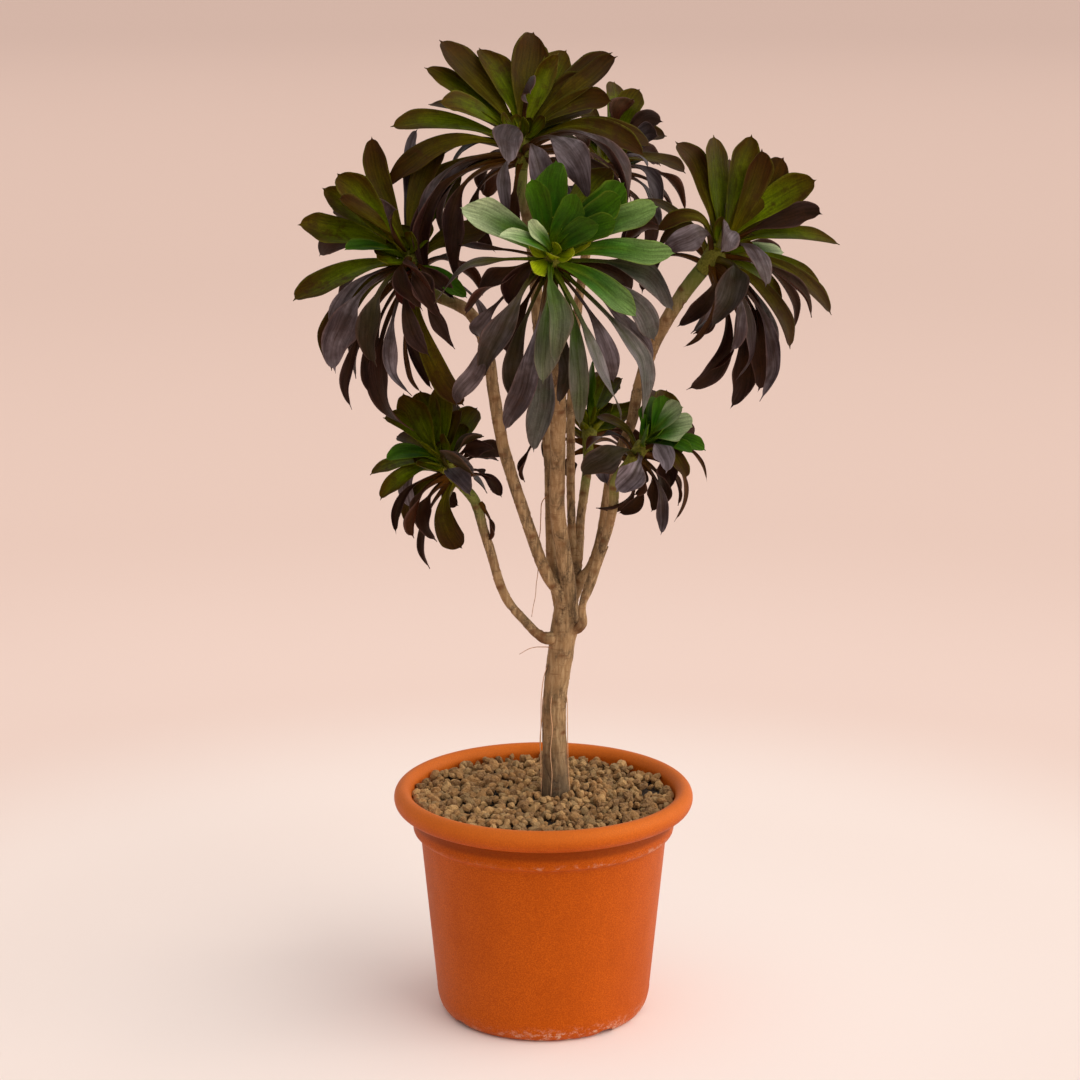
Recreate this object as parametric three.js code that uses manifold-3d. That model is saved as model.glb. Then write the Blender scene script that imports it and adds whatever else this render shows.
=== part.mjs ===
// Potted aeonium: a branched succulent with eight leaf rosettes, in a rolled-rim plastic pot.
// Millimetres, +Z up. The origin is the middle of the pot's underside, and the front faces -Y.
import * as THREE from 'three';
import { mergeVertices } from 'three/addons/utils/BufferGeometryUtils.js';
import Module from 'manifold-3d';

const wasm = await Module();
wasm.setup();

// ---- driving dimensions -------------------------------------------------------------------

const GAP = 0.3; // between pieces that touch
const HAIR = 0.01; // corners of one mesh that touch are drawn this far apart

const RIM_RADIUS = 95;
const RIM_TOP = 148;
const ROLL_HALF_WIDTH = 5.5;
const ROLL_HALF_HEIGHT = 6.7;
const ROLL_START = -75; // degrees round the roll's section
const ROLL_STEPS = 8;
const SHOULDER_RADIUS = 78.2;
const SHOULDER_HEIGHT = 116.5;
const COLLAR_RADIUS = 83; // of the band between the wall and the rolled rim
const COLLAR_FOOT = [[80, 117.6], [82.3, 120]]; // radius and height of its rounded lower edge
const COLLAR_HEIGHT = 122;
const COLLAR_TOP = 132.8;
const ROLL_EDGE = [88.6, 133.6]; // the crisp lower edge of the rolled rim
const NECK_INNER_RADIUS = 80.8;
const NECK_HEIGHT = 122;
const LIP_INNER_RADIUS = 81.6;
const LIP_HEIGHT = 134; // where the roll begins
const FOOT_RADIUS = 68.6;
const FOOT_HEIGHT = 14;
const FLOOR_RADIUS = 59.5; // of the inside
const INNER_FOOT_RADIUS = 64.6;
const INNER_FOOT_HEIGHT = 10;
const FOOT_CURVE = [[65.5, 3], [67.4, 9]]; // radius and height between the base and the wall
const BASE_RADIUS = 61;
const WALL = 2;
const FLOOR = 3;
const POT_SIDES = 40;

const NOTCH_COUNT = 4;
const NOTCH_FIRST_ANGLE = 37; // degrees from the front, towards +X
const NOTCH_RADIUS = 11;
const NOTCH_HEIGHT = 3.8;
const NOTCH_INNER_RADIUS = 54;
const NOTCH_SIDES = 16;

const MIX_TOP = 126;
const MIX_EDGE_CLEARANCE = 1; // keeps the flat-sided top edges off the wall
const GRAVEL_EDGE_CLEARANCE = 1.2;
const GRAVEL_SPREAD = 1.6; // how much wider the gravel is at its top than where the lip begins
const GRAVEL_SIDE_TOP = 139.5;
const GRAVEL_EDGE_TOP = 141;
const GRAVEL_MOUND = 1.5; // how much higher the gravel lies round the trunk
const GRAVEL_BUMP = 1.2;
const GRAVEL_RINGS = 6;
const GRAVEL_SIDES = 28;

const TRUNK_SIDES = 10;
const STEM_SIDES = 8;
const STEM_STEP = 15;
const CROWN_TOP = 5; // the growing tip, past the crown's middle
const CROWN_FOOT = 16; // the lowest leaf bases, below the crown's middle
const CROWN_EXTRA_RADIUS = 2.2;

const LEAF_STATIONS = [0, 0.42, 0.78];
const LEAF_THICKNESS = [2.8, 2, 1.5];
const LEAF_WIDTHS = [0.25, 0.45, 1]; // share of the blade's full width
const LEAF_ROOT_WIDTH = 3.6;
const LEAF_SECTION = [[1, 1], [-1, 1], [0, -1]]; // flat above, keeled below
const SWOLLEN_SECTION = [[1, 1], [-1, 1], [-1, -1], [1, -1]]; // the box that clears it

const COLOURS = {
  pot: 0xc4622a,
  mix: 0x3b2a20,
  gravel: 0xa08566,
  bark: 0x9a8262,
  root: 0x8a6a48,
  leaf: 0x4b4a24,
};

// ---- stems: centre line points and radii, from the trunk out ---------------------------------

const TRUNK = {
  path: [[8, 4, 96], [8, 4, 137], [7, 3, 170], [7, 3, 201], [11, 2, 235], [14, 1, 258], [15, 1, 270]],
  radii: [7, 8.6, 7.7, 7.4, 8, 8.4, 6.6],
};

const BRANCHES = {
  front_branch: {
    rosette: 'front_rosette',
    path: [[14, -1, 258], [15.5, -3, 276], [12, -8, 302], [8.6, -14, 329], [8.6, -22, 363], [9, -30, 399],
      [8, -38, 424]],
    radii: [5.6, 5.2, 4.9, 4.7, 4.7, 4.7, 4.6, 4.5, 4.4],
  },
  left_branch: {
    rosette: 'left_rosette',
    path: [[13, -3, 266], [10, -4, 275], [3.4, -5, 284.5], [-3.4, -8, 301], [-9.6, -11, 320], [-18, -13, 346],
      [-25, -15, 371], [-30, -17, 402], [-34, -18, 428], [-44, -19, 452]],
    radii: [4.4, 4, 3.8, 3.7, 3.7, 3.7, 3.7, 3.7, 3.7, 3.7, 3.7, 3.8],
  },
  lower_left_branch: {
    rosette: 'lower_left_rosette',
    path: [[9, 0, 246], [2.5, -2, 244.8], [-3, -3, 247.4], [-12, -4, 257], [-22, -4, 269], [-27.4, -4, 281],
      [-32, -3.5, 298], [-37, -3, 314]],
    radii: [4.2, 3.9, 3, 2.8, 2.8, 2.8, 2.9, 3, 3.2, 3.4],
  },
  lower_right_branch: {
    rosette: 'lower_right_rosette',
    path: [[13, -1, 251], [20, -4, 251], [24.2, -7, 256], [24, -9, 266], [26, -9.5, 276], [30.6, -10, 289],
      [36, -11, 304], [40, -12.5, 318], [43, -14, 333]],
    radii: [2.6, 2.8, 2.9, 2.4, 2.3, 2.4, 2.6, 2.8, 3, 3.2, 3.4],
    twig: { path: [[25, -8.4, 269], [29.5, -4, 277], [34, -2, 289], [39.5, -1, 304]], radii: [1.5, 1.4, 1.2, 1] },
  },
  right_branch: {
    rosette: 'right_rosette',
    path: [[15, 2, 262], [22, 4, 279], [29, 5, 288], [34, 5, 302], [37.5, 5, 320], [41, 4, 345], [48, 2, 366],
      [54, 1, 381], [58, -1, 402], [66, -4, 428], [77, -6, 450]],
    radii: [4.6, 4, 3.2, 2.8, 2.8, 2.9, 3.1, 3.3, 3.6, 3.9, 4.2, 4.5, 4.7],
  },
  top_branch: {
    rosette: 'top_rosette',
    path: [[11, 4, 262], [6.6, 7, 284], [4.8, 9, 310], [3.8, 9, 357], [-1, 6, 400], [-3, 4, 440], [-8, 2, 500]],
    radii: [4.4, 3.8, 3.6, 3.6, 3.7, 3.8, 3.8, 3.8, 3.8],
  },
  back_branch: {
    rosette: 'back_rosette',
    path: [[14, 4, 262], [19, 11, 292], [17.6, 16, 315], [17, 24, 355], [17.6, 32, 397], [22, 41, 452],
      [28, 45, 490]],
    radii: [4, 3, 2.6, 2.6, 2.7, 2.8, 3, 3.2, 3.2],
  },
  inner_branch: {
    rosette: 'inner_rosette',
    path: [[17, 3, 262], [21.5, 10, 291], [23.5, 20, 318]],
    radii: [4, 3, 2.8, 2.9, 3],
  },
};

// ---- rosettes -------------------------------------------------------------------------------
// crown: the middle of the leaf bases; axis: where the growing tip points.
// A leaf is [right, back, up, bow, width, twist]: its tip from the crown, how far its middle
// bows out towards the axis, its blade's width, and its twist at the tip in degrees.
// behind: how many more leaves fill the side away from the front; reach: their length.

const ROSETTES = {
  front_rosette: {
    crown: [4, -60, 491],
    axis: [0, -0.8, 0.6],
    behind: 5,
    reach: 82,
    leaves: [
      [-51, -5, 32, 4, 21, 0], [-2, 5, 55, 4, 20, 0], [-10, -12, 47, 3, 14, -15], [17, -15, 37, 3, 16, 0],
      [45, 5, 41, 3, 20, 0], [42, -8, 34, 3, 17, 0], [27, -20, 23, 3, 15, 0], [38, -12, 22, 4, 15, 10],
      [63, -5, 28, 6, 16, 0], [72, -10, 0, 9, 15, 0], [76, -4, -17, 8, 18, 0], [49, -22, -33, 9, 16, 10],
      [66, -6, -45, 14, 17, 10], [64, 2, -60, 14, 13, 20], [68, -4, -84, 16, 17, 0],
      [36, -25, -91, 18, 20, -10], [41, -8, -72, 12, 12, 30], [6, -44, -50, 16, 18, 0],
      [-4, -12, -114, 20, 20, 0], [-20, -18, -103, 18, 20, 10], [-3, -32, -69, 16, 20, 0],
      [-68, -20, -12, 13, 13, 20], [-42, -18, -66, 24, 19, -20], [-54, 2, -92, 26, 16, 20],
      [-30, -34, 16, 6, 13, 30], [-14, -22, 22, 3, 10, 0], [-27, 12, -58, 14, 14, 0],
      [-50, -4, -27, 15, 22, 0], [-25, -10, -88, 20, 14, 20], [-28, -12, -25, 12, 17, 0],
      [22, -20, -96, 18, 15, -15], [52, 2, -34, 12, 13, 10], [14, -8, -84, 14, 14, 15],
    ],
  },
  top_rosette: {
    crown: [-13, 0, 553],
    axis: [0.02, -0.12, 0.99],
    behind: 12,
    reach: 78,
    leaves: [
      [-50, 15, 60, 3, 23, 0], [-58, 4, 45, 3, 17, 0], [-21, 22, 56, 2, 20, 0], [10, 28, 63, 2, 25, 0],
      [20, 8, 54, 2, 15, 65], [53, 12, 54, 4, 20, 0], [58, 0, 49, 4, 17, 0], [-79, -6, 12, 7, 16, 0],
      [-49, -12, 29, 4, 16, 0], [2, -42, 36, 10, 18, 0], [-13, -60, -5, 16, 21, 0],
      [-11, -36, -42, 20, 10, 0], [77, -14, -2, 15, 13, 0], [73, -30, -6, 16, 15, 0],
      [54, -12, 28, 8, 15, 10], [69, -46, -28, 24, 20, 0], [42, -60, -26, 21, 22, 0],
      [14, -48, -36, 22, 18, 0], [-79, -14, -27, 18, 16, 0], [-70, -6, -40, 9, 18, 0],
      [-63, -30, -71, 30, 13, 20], [-41, -22, -77, 26, 19, 0], [-46, 18, -24, 16, 16, 0],
      [42, 8, 40, 5, 18, 0], [-63, -22, -79, 26, 17, 0], [-21, 10, -63, 18, 16, 0],
      [-51, -5, -54, 20, 14, 0], [-6, -10, -58, 14, 17, 0], [60, -10, -44, 18, 15, 15],
      [30, -24, -62, 20, 15, -10], [48, 14, -30, 16, 15, 0],
    ],
  },
  back_rosette: {
    crown: [38, 55, 535],
    axis: [0.22, 0.3, 0.93],
    behind: 12,
    reach: 66,
    leaves: [
      [13, 8, 42, 2, 20, 0], [34, 0, 32, 4, 21, 0], [31, -22, 20, 8, 18, 0], [51, -2, -4, 9, 16, 0],
      [28, -24, 2, 8, 12, 0], [37, -10, -22, 14, 12, 20], [46, 6, -40, 16, 15, 0],
      [12, -18, -44, 16, 15, 0], [-16, 4, 38, 3, 17, 0], [30, 2, -60, 14, 15, 10],
    ],
  },
  left_rosette: {
    crown: [-81, -20, 486],
    axis: [-0.5, -0.34, 0.8],
    behind: 9,
    reach: 76,
    leaves: [
      [-22, 15, 71, 4, 15, 0], [-38, -14, 54, 3, 19, 0], [-50, -8, 43, 3, 18, 0], [-39, -30, 38, 3, 18, 0],
      [-64, -18, 20, 4, 20, 0], [-35, -34, 9, 4, 12, 0], [-67, -18, -25, 7, 20, 0],
      [-53, 2, -66, 14, 18, 0], [-43, -24, -60, 16, 22, 0], [-35, -6, -71, 13, 18, 0],
      [-19, -38, -55, 17, 24, 0], [-39, -12, -88, 14, 10, 30], [-13, -4, -103, 14, 22, 0],
      [3, 8, -84, 8, 4, 0], [8, -28, -54, 14, 14, 0], [14, -6, -77, 12, 12, 0], [28, -14, -53, 15, 13, 0],
      [2, 24, 75, 3, 12, 60], [22, 18, 72, 7, 16, 0], [-6, -46, 40, 7, 16, 0], [2, -34, -26, 13, 14, 0],
      [20, -40, -26, 14, 17, 0], [13, -46, -12, 12, 16, 0], [30, 0, -92, 16, 14, 0],
      [34, -14, -24, 10, 11, 0], [18, -14, -29, 10, 15, 0], [2, -14, -30, 10, 14, 0],
      [24, -20, -22, 12, 17, 0], [-24, 4, -86, 12, 13, 0], [-48, -10, -44, 12, 14, 10],
      [-8, -20, -80, 13, 13, -20],
    ],
  },
  right_rosette: {
    crown: [105, -10, 489],
    axis: [0.6, -0.15, 0.78],
    behind: 10,
    reach: 74,
    leaves: [
      [-21, 12, 67, 5, 18, 0], [-2, 16, 68, 2, 20, 0], [19, 14, 69, 2, 20, 0], [26, -5, 61, 3, 20, 0],
      [43, 5, 53, 3, 22, 0], [57, -6, 45, 3, 20, 0], [58, -16, 25, 4, 20, 0], [73, -4, 5, 9, 14, 0],
      [42, 15, -3, 3, 12, 0], [63, 0, -22, 6, 14, 0], [70, -9, -36, 11, 12, 0], [58, -24, -32, 9, 12, 10],
      [40, 16, -36, 8, 14, 0], [46, -14, -57, 10, 15, 0], [34, -20, -85, 15, 12, 30],
      [25, -8, -83, 14, 16, 0], [13, 1, -96, 13, 18, 0], [-11, -3, -85, 15, 16, 0],
      [4, -10, -70, 14, 18, 0], [7, -30, -56, 14, 14, 0], [-1, -44, -37, 18, 22, 0],
      [-12, 12, -52, 13, 19, 0], [-18, -6, -59, 11, 5, 0], [-3, -54, 8, 15, 22, 0],
      [22, -54, -10, 14, 21, 0], [-30, -25, 0, 18, 20, 0], [-38, -8, 14, 18, 10, 0], [-36, 8, 2, 16, 10, 0],
      [28, -2, -62, 12, 12, 15], [36, -6, -68, 12, 11, -15], [-20, -22, -44, 14, 14, 20],
      [16, -22, -72, 13, 12, 25],
    ],
  },
  lower_left_rosette: {
    crown: [-60, -3, 355],
    axis: [-0.62, -0.05, 0.78],
    behind: 8,
    reach: 50,
    leaves: [
      [-38, -9, 35, 3, 18, 0], [-23, 0, 46, 2, 21, 0], [-14, 10, 46, 2, 18, 0], [-2, 5, 49, 2, 16, 0],
      [-38, -6, 7, 6, 12, 0], [-46, -4, -5, 7, 12, 0], [-39, -11, -19, 9, 12, 0], [-34, -10, -37, 10, 7, 0],
      [-25, 5, -40, 9, 12, 0], [-20, -20, -38, 10, 18, 0], [-12, -10, -43, 9, 16, 0],
      [-15, 5, -64, 8, 10, 0], [9, -11, -50, 9, 17, 0], [12, -42, 6, 13, 20, 0], [15, -33, -10, 12, 20, 0],
      [22, -15, 22, 6, 16, 0], [9, 2, 35, 3, 12, 0], [4, 9, 32, 3, 14, 0], [32, 5, 3, 7, 14, 0],
      [28, -12, 14, 7, 14, 0], [28, -2, -13, 9, 12, 0], [36, -6, -17, 8, 9, 0], [7, 5, -25, 8, 13, 0],
    ],
  },
  lower_right_rosette: {
    crown: [61, -20, 371],
    axis: [0.6, -0.14, 0.79],
    behind: 8,
    reach: 46,
    leaves: [
      [28, -10, 13, 3, 22, 0], [23, -5, 26, 2, 18, 0], [14, 1, 31, 2, 17, 0], [6, 6, 30, 2, 15, 0],
      [0, 5, 26, 2, 14, 0], [38, -4, -1, 5, 12, 0], [30, -13, -1, 4, 11, 0], [40, -5, -17, 11, 3, 0],
      [21, -15, -42, 18, 5, 0], [23, -9, -34, 9, 8, 20], [24, -20, -16, 9, 10, 0], [11, -34, -7, 9, 14, 0],
      [15, -15, -21, 8, 16, 0], [9, -20, -50, 9, 9, 20], [12, -5, -37, 7, 12, 0], [3, -13, -36, 8, 13, 0],
      [-4, -8, -28, 7, 13, 0], [-12, 0, -44, 9, 11, 0], [-14, -29, -23, 12, 19, 0],
      [-27, 6, -41, 12, 12, 0], [-32, -20, -15, 13, 24, 0],
    ],
  },
  inner_rosette: {
    crown: [29, 44, 368],
    axis: [0.06, 0.42, 0.9],
    behind: 9,
    reach: 48,
    leaves: [
      [-9, -10, -27, 9, 12, 0], [-14, -4, 38, 2, 14, 0], [20, 0, 36, 3, 15, 0], [2, -8, 46, 2, 16, 0],
      [-30, 2, 16, 5, 14, 0], [30, -10, 14, 6, 14, 0], [-24, -6, -18, 9, 12, 0], [14, -14, -24, 9, 12, 0],
      [-34, 6, -6, 8, 13, 0], [34, 4, -10, 8, 13, 0],
    ],
  },
};

// Leaves turn about their length to face the light: a share of the way, up to a limit.
const LIGHT = [0.25, -0.9, 0.36];
const LIGHT_PULL = 0.55;
const LIGHT_LIMIT = 70; // degrees

const HEART_LEAVES = 5;
const HEART_REACH = 26;
const HEART_WIDTH = 10;
const GOLDEN_ANGLE = Math.PI * (3 - Math.sqrt(5));

// Small leaves that grow straight out of a stem: base, tip, bow, width.
const STEM_LEAVES = {
  lower_stem_leaf: { base: [-39.6, -3.4, 332], tip: [-32.5, -5, 309], bow: 3, width: 8 },
  upper_stem_leaf: { base: [0.5, 7, 376], tip: [-15.9, -1, 346.8], bow: 3, width: 9 },
};

const AERIAL_ROOTS = {
  hanging_root: {
    path: [[3, 8.5, 335], [-1.2, 5, 330], [-2, 1, 315.6], [-2.6, -0.5, 303], [-3.3, -1, 292], [-4.8, -3, 277],
      [-7.2, -4, 259.3]],
    radius: 0.6,
  },
  side_rootlet: {
    path: [[6, -3, 239], [0, -5, 240], [-5, -5.5, 240.3], [-10.3, -6, 238.9], [-15.5, -6, 236]],
    radius: 0.6,
  },
};

// ---- geometry helpers -------------------------------------------------------------------------

const vector = (point) => new THREE.Vector3(...point);

// Joins rings of equal length into one closed surface. A last ring of one point makes a tip.
function loft(rings) {
  const count = rings[0].length;
  const positions = rings.flat().flatMap((p) => [p.x, p.y, p.z]);
  const index = [];
  for (let k = 1; k < count - 1; k += 1) {
    index.push(0, k + 1, k);
  }
  for (let i = 1; i < rings.length; i += 1) {
    const from = (i - 1) * count;
    const to = i * count;
    for (let k = 0; k < count; k += 1) {
      const next = (k + 1) % count;
      if (rings[i].length === 1) {
        index.push(from + k, from + next, to);
      } else {
        index.push(from + k, from + next, to + next, from + k, to + next, to + k);
      }
    }
  }
  const last = (rings.length - 1) * count;
  if (rings.at(-1).length > 1) {
    for (let k = 1; k < count - 1; k += 1) {
      index.push(last, last + k, last + k + 1);
    }
  }
  const geometry = new THREE.BufferGeometry();
  geometry.setAttribute('position', new THREE.Float32BufferAttribute(positions, 3));
  geometry.setIndex(index);
  return geometry;
}

// A closed surface as a solid for cutting and joining, turned right side out if need be.
function solidOf(geometry) {
  const bare = geometry.clone();
  bare.deleteAttribute('normal');
  bare.deleteAttribute('uv');
  const merged = mergeVertices(bare, 1e-4);
  const vertProperties = new Float32Array(merged.attributes.position.array);
  const triVerts = new Uint32Array(merged.index.array);
  const solid = new wasm.Manifold(new wasm.Mesh({ numProp: 3, vertProperties, triVerts }));
  if (solid.volume() > 0) {
    return solid;
  }
  for (let i = 0; i < triVerts.length; i += 3) {
    [triVerts[i + 1], triVerts[i + 2]] = [triVerts[i + 2], triVerts[i + 1]];
  }
  return new wasm.Manifold(new wasm.Mesh({ numProp: 3, vertProperties, triVerts }));
}

// A solid's surface. Corners that touch without being joined are drawn apart by a hair, so that
// the surface is still closed once equal points are merged.
function geometryOf(solid) {
  const { vertProperties, triVerts, numProp } = solid.getMesh();
  const corners = [];
  for (let i = 0; i < vertProperties.length; i += numProp) {
    corners.push(vector(vertProperties.slice(i, i + 3)));
  }
  const seen = new Set();
  const touching = new Set();
  corners.forEach((corner, i) => {
    const key = corner.toArray().join();
    if (seen.has(key)) {
      touching.add(i);
    }
    seen.add(key);
  });
  for (let i = 0; i < triVerts.length; i += 3) {
    const triangle = [...triVerts.slice(i, i + 3)];
    const middle = new THREE.Vector3();
    triangle.forEach((corner) => middle.addScaledVector(corners[corner], 1 / 3));
    for (const corner of triangle.filter((candidate) => touching.has(candidate))) {
      corners[corner].add(middle.clone().sub(corners[corner]).setLength(HAIR));
    }
  }
  const geometry = new THREE.BufferGeometry().setFromPoints(corners);
  geometry.setIndex([...triVerts]);
  return geometry;
}

function joined(solids) {
  return solids.reduce((whole, solid) => whole.add(solid));
}

// The largest of the pieces that a cut leaves.
function largest(solid) {
  return solid.decompose().reduce((best, piece) => (piece.volume() > best.volume() ? piece : best));
}

// A tube of changing radius along a smooth line through the points.
function stemGeometry(points, radii, grow = 0, sides = STEM_SIDES, step = STEM_STEP) {
  const curve = new THREE.CatmullRomCurve3(points.map(vector), false, 'centripetal');
  const count = Math.max(3, Math.round(curve.getLength() / step));
  const frames = curve.computeFrenetFrames(count);
  const rings = [];
  for (let i = 0; i <= count; i += 1) {
    const along = curve.getUtoTmapping(i / count) * (radii.length - 1);
    const low = Math.min(Math.floor(along), radii.length - 2);
    const radius = THREE.MathUtils.lerp(radii[low], radii[low + 1], along - low) + grow;
    const past = i === 0 ? -grow : i === count ? grow : 0;
    const centre = curve.getPointAt(i / count).addScaledVector(frames.tangents[i], past);
    const ring = [];
    for (let k = 0; k < sides; k += 1) {
      const angle = (2 * Math.PI * k) / sides;
      const out = frames.normals[i].clone().multiplyScalar(Math.cos(angle) * radius);
      out.addScaledVector(frames.binormals[i], Math.sin(angle) * radius);
      ring.push(out.add(centre));
    }
    rings.push(ring);
  }
  return loft(rings);
}

// How far, in radians, a blade along the line with that upper side turns to the light.
function lightTurn(line, outward) {
  const light = vector(LIGHT);
  const away = Math.atan2(light.dot(line.clone().cross(outward)), light.dot(outward));
  const limit = THREE.MathUtils.degToRad(LIGHT_LIMIT);
  return THREE.MathUtils.clamp(LIGHT_PULL * away, -limit, limit);
}

// A spoon-shaped blade from base to tip, its upper face towards the axis and the light.
function leafGeometry(base, tip, axis, bow, width, twist, grow = 0) {
  const chord = tip.clone().sub(base);
  const line = chord.clone().normalize();
  const outward = axis.clone().projectOnPlane(line).normalize();
  const control = base.clone().addScaledVector(chord, 0.5).addScaledVector(outward, 2 * bow);
  const curve = new THREE.QuadraticBezierCurve3(base, control, tip);
  const rings = LEAF_STATIONS.map((t, i) => {
    const centre = curve.getPoint(t);
    const tangent = curve.getTangent(t);
    const towardsLight = lightTurn(line, outward) * THREE.MathUtils.smoothstep(t, 0, 0.55);
    const turn = THREE.MathUtils.degToRad(twist) * t + towardsLight;
    const face = outward.clone().projectOnPlane(tangent).normalize().applyAxisAngle(tangent, turn);
    const side = tangent.clone().cross(face);
    const blade = i === 0 ? Math.min(LEAF_ROOT_WIDTH, width) : LEAF_WIDTHS[i] * width;
    const half = blade / 2 + grow;
    const thick = LEAF_THICKNESS[i] / 2 + grow;
    return (grow > 0 ? SWOLLEN_SECTION : LEAF_SECTION).map(([across, up]) => (
      centre.clone().addScaledVector(side, across * half).addScaledVector(face, up * thick)));
  });
  const past = curve.getTangent(1).multiplyScalar(2 * grow);
  rings.push([tip.clone().add(past)]);
  return loft(rings);
}

// ---- rosettes ----------------------------------------------------------------------------------

// The small upright leaves round the growing tip.
function heartLeaves(axis) {
  const across = new THREE.Vector3(1, 0, 0).projectOnPlane(axis).normalize();
  const leaves = [];
  for (let i = 0; i < HEART_LEAVES; i += 1) {
    const lean = THREE.MathUtils.degToRad(18 + 6 * i);
    const reach = HEART_REACH * (0.72 + 0.07 * i);
    const out = across.clone().applyAxisAngle(axis, i * GOLDEN_ANGLE).multiplyScalar(Math.sin(lean) * reach);
    const tip = out.addScaledVector(axis, Math.cos(lean) * reach);
    leaves.push([tip.x, tip.y, tip.z, -1.5, HEART_WIDTH + 0.6 * i, 0]);
  }
  return leaves;
}

// Leaves on the side away from the front, from rising ones to old ones that hang.
function leavesBehind(count, reach) {
  const leaves = [];
  for (let i = 0; i < count; i += 1) {
    const age = (i + 0.5) / count;
    const heading = THREE.MathUtils.degToRad(75 * Math.sin(2.4 * i + 0.6));
    const rise = THREE.MathUtils.degToRad(58 - 112 * age);
    const length = reach * (0.86 + 0.2 * Math.sin(1.7 * i));
    const flat = Math.cos(rise) * length;
    const tip = [Math.sin(heading) * flat, Math.cos(heading) * flat, Math.sin(rise) * length];
    leaves.push([...tip, 2 + 14 * age, 14 + 5 * Math.sin(2.1 * i + 1), 0]);
  }
  return leaves;
}

function rosetteLeaves({ axis, behind, reach, leaves }) {
  return [...leaves, ...heartLeaves(vector(axis).normalize()), ...leavesBehind(behind, reach)];
}

// The leafy stem tip with all its leaves, as one solid.
function rosetteSolid(rosette, radius, grow = 0) {
  const crown = vector(rosette.crown);
  const axis = vector(rosette.axis).normalize();
  const foot = crown.clone().addScaledVector(axis, -CROWN_FOOT);
  const top = crown.clone().addScaledVector(axis, CROWN_TOP);
  const core = stemGeometry([foot.toArray(), crown.toArray(), top.toArray()],
    [radius, radius + CROWN_EXTRA_RADIUS, radius * 0.6], grow, STEM_SIDES, 7);
  const solids = rosetteLeaves(rosette).map(([x, y, z, bow, width, twist]) => {
    const reach = new THREE.Vector3(x, y, z);
    const lean = reach.angleTo(axis) / Math.PI;
    const base = crown.clone().addScaledVector(axis, CROWN_TOP - 1 - (CROWN_FOOT + CROWN_TOP - 4) * lean);
    const tip = crown.clone().add(reach);
    return solidOf(leafGeometry(base, tip, axis, bow, width, twist, grow));
  });
  return joined([solidOf(core), ...solids]);
}

// A branch's centre line, carried on to the foot of its rosette.
function branchPath({ path, rosette }) {
  const crown = vector(ROSETTES[rosette].crown);
  const axis = vector(ROSETTES[rosette].axis).normalize();
  const neck = crown.clone().addScaledVector(axis, -CROWN_FOOT - 12);
  const end = crown.clone().addScaledVector(axis, -CROWN_FOOT - GAP);
  return [...path, neck.toArray(), end.toArray()];
}

// A branch and any side twig, as one solid.
function branchSolid(branch, grow = 0) {
  const stem = solidOf(stemGeometry(branchPath(branch), branch.radii, grow));
  if (!branch.twig) {
    return stem;
  }
  return stem.add(solidOf(stemGeometry(branch.twig.path, branch.twig.radii, grow, 6, 12)));
}

// ---- pot, potting mix and gravel -----------------------------------------------------------------

const ROLL_CENTRE_RADIUS = RIM_RADIUS - ROLL_HALF_WIDTH;
const ROLL_CENTRE_HEIGHT = RIM_TOP - ROLL_HALF_HEIGHT;

// The inside of the wall from the floor up to the roll.
function innerWall(offset) {
  return [
    [FLOOR_RADIUS - offset, FLOOR + offset],
    [INNER_FOOT_RADIUS - offset, INNER_FOOT_HEIGHT],
    [FOOT_RADIUS - WALL - offset, FOOT_HEIGHT],
    [SHOULDER_RADIUS - WALL - offset, SHOULDER_HEIGHT],
    [NECK_INNER_RADIUS - offset, NECK_HEIGHT],
    [LIP_INNER_RADIUS - offset, LIP_HEIGHT],
  ];
}

// The roll's section from just outside its lower edge, over the top and down to its inner side.
function rollArc() {
  const arc = [];
  for (let i = 0; i <= ROLL_STEPS; i += 1) {
    const angle = THREE.MathUtils.degToRad(ROLL_START + ((180 - ROLL_START) * i) / ROLL_STEPS);
    arc.push([
      ROLL_CENTRE_RADIUS + ROLL_HALF_WIDTH * Math.cos(angle),
      ROLL_CENTRE_HEIGHT + ROLL_HALF_HEIGHT * Math.sin(angle),
    ]);
  }
  return arc;
}

function lathe(profile, sides) {
  const points = profile.map(([radius, height]) => new THREE.Vector2(radius, height));
  return new THREE.LatheGeometry(points, sides).rotateX(Math.PI / 2);
}

function potSolid() {
  const outside = [
    [0, 0],
    [BASE_RADIUS, 0],
    ...FOOT_CURVE,
    [FOOT_RADIUS, FOOT_HEIGHT],
    [SHOULDER_RADIUS, SHOULDER_HEIGHT],
    ...COLLAR_FOOT,
    [COLLAR_RADIUS, COLLAR_HEIGHT],
    [COLLAR_RADIUS, COLLAR_TOP],
    ROLL_EDGE,
  ];
  const inside = innerWall(0).reverse();
  let pot = solidOf(lathe([...outside, ...rollArc(), ...inside, [0, FLOOR]], POT_SIDES));
  for (let i = 0; i < NOTCH_COUNT; i += 1) {
    const length = FOOT_RADIUS + 6 - NOTCH_INNER_RADIUS;
    const notch = new THREE.CylinderGeometry(NOTCH_RADIUS, NOTCH_RADIUS, length, NOTCH_SIDES);
    notch.translate(0, -NOTCH_INNER_RADIUS - length / 2, NOTCH_HEIGHT - NOTCH_RADIUS);
    notch.rotateZ(THREE.MathUtils.degToRad(NOTCH_FIRST_ANGLE + (360 / NOTCH_COUNT) * i));
    pot = pot.subtract(solidOf(notch));
  }
  return pot;
}

function mixSolid() {
  const wall = innerWall(GAP).filter(([, height]) => height < MIX_TOP - GAP);
  const edge = NECK_INNER_RADIUS - GAP - MIX_EDGE_CLEARANCE;
  return solidOf(lathe([[0, FLOOR + GAP], ...wall, [edge, MIX_TOP - GAP], [0, MIX_TOP - GAP]], POT_SIDES));
}

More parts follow.
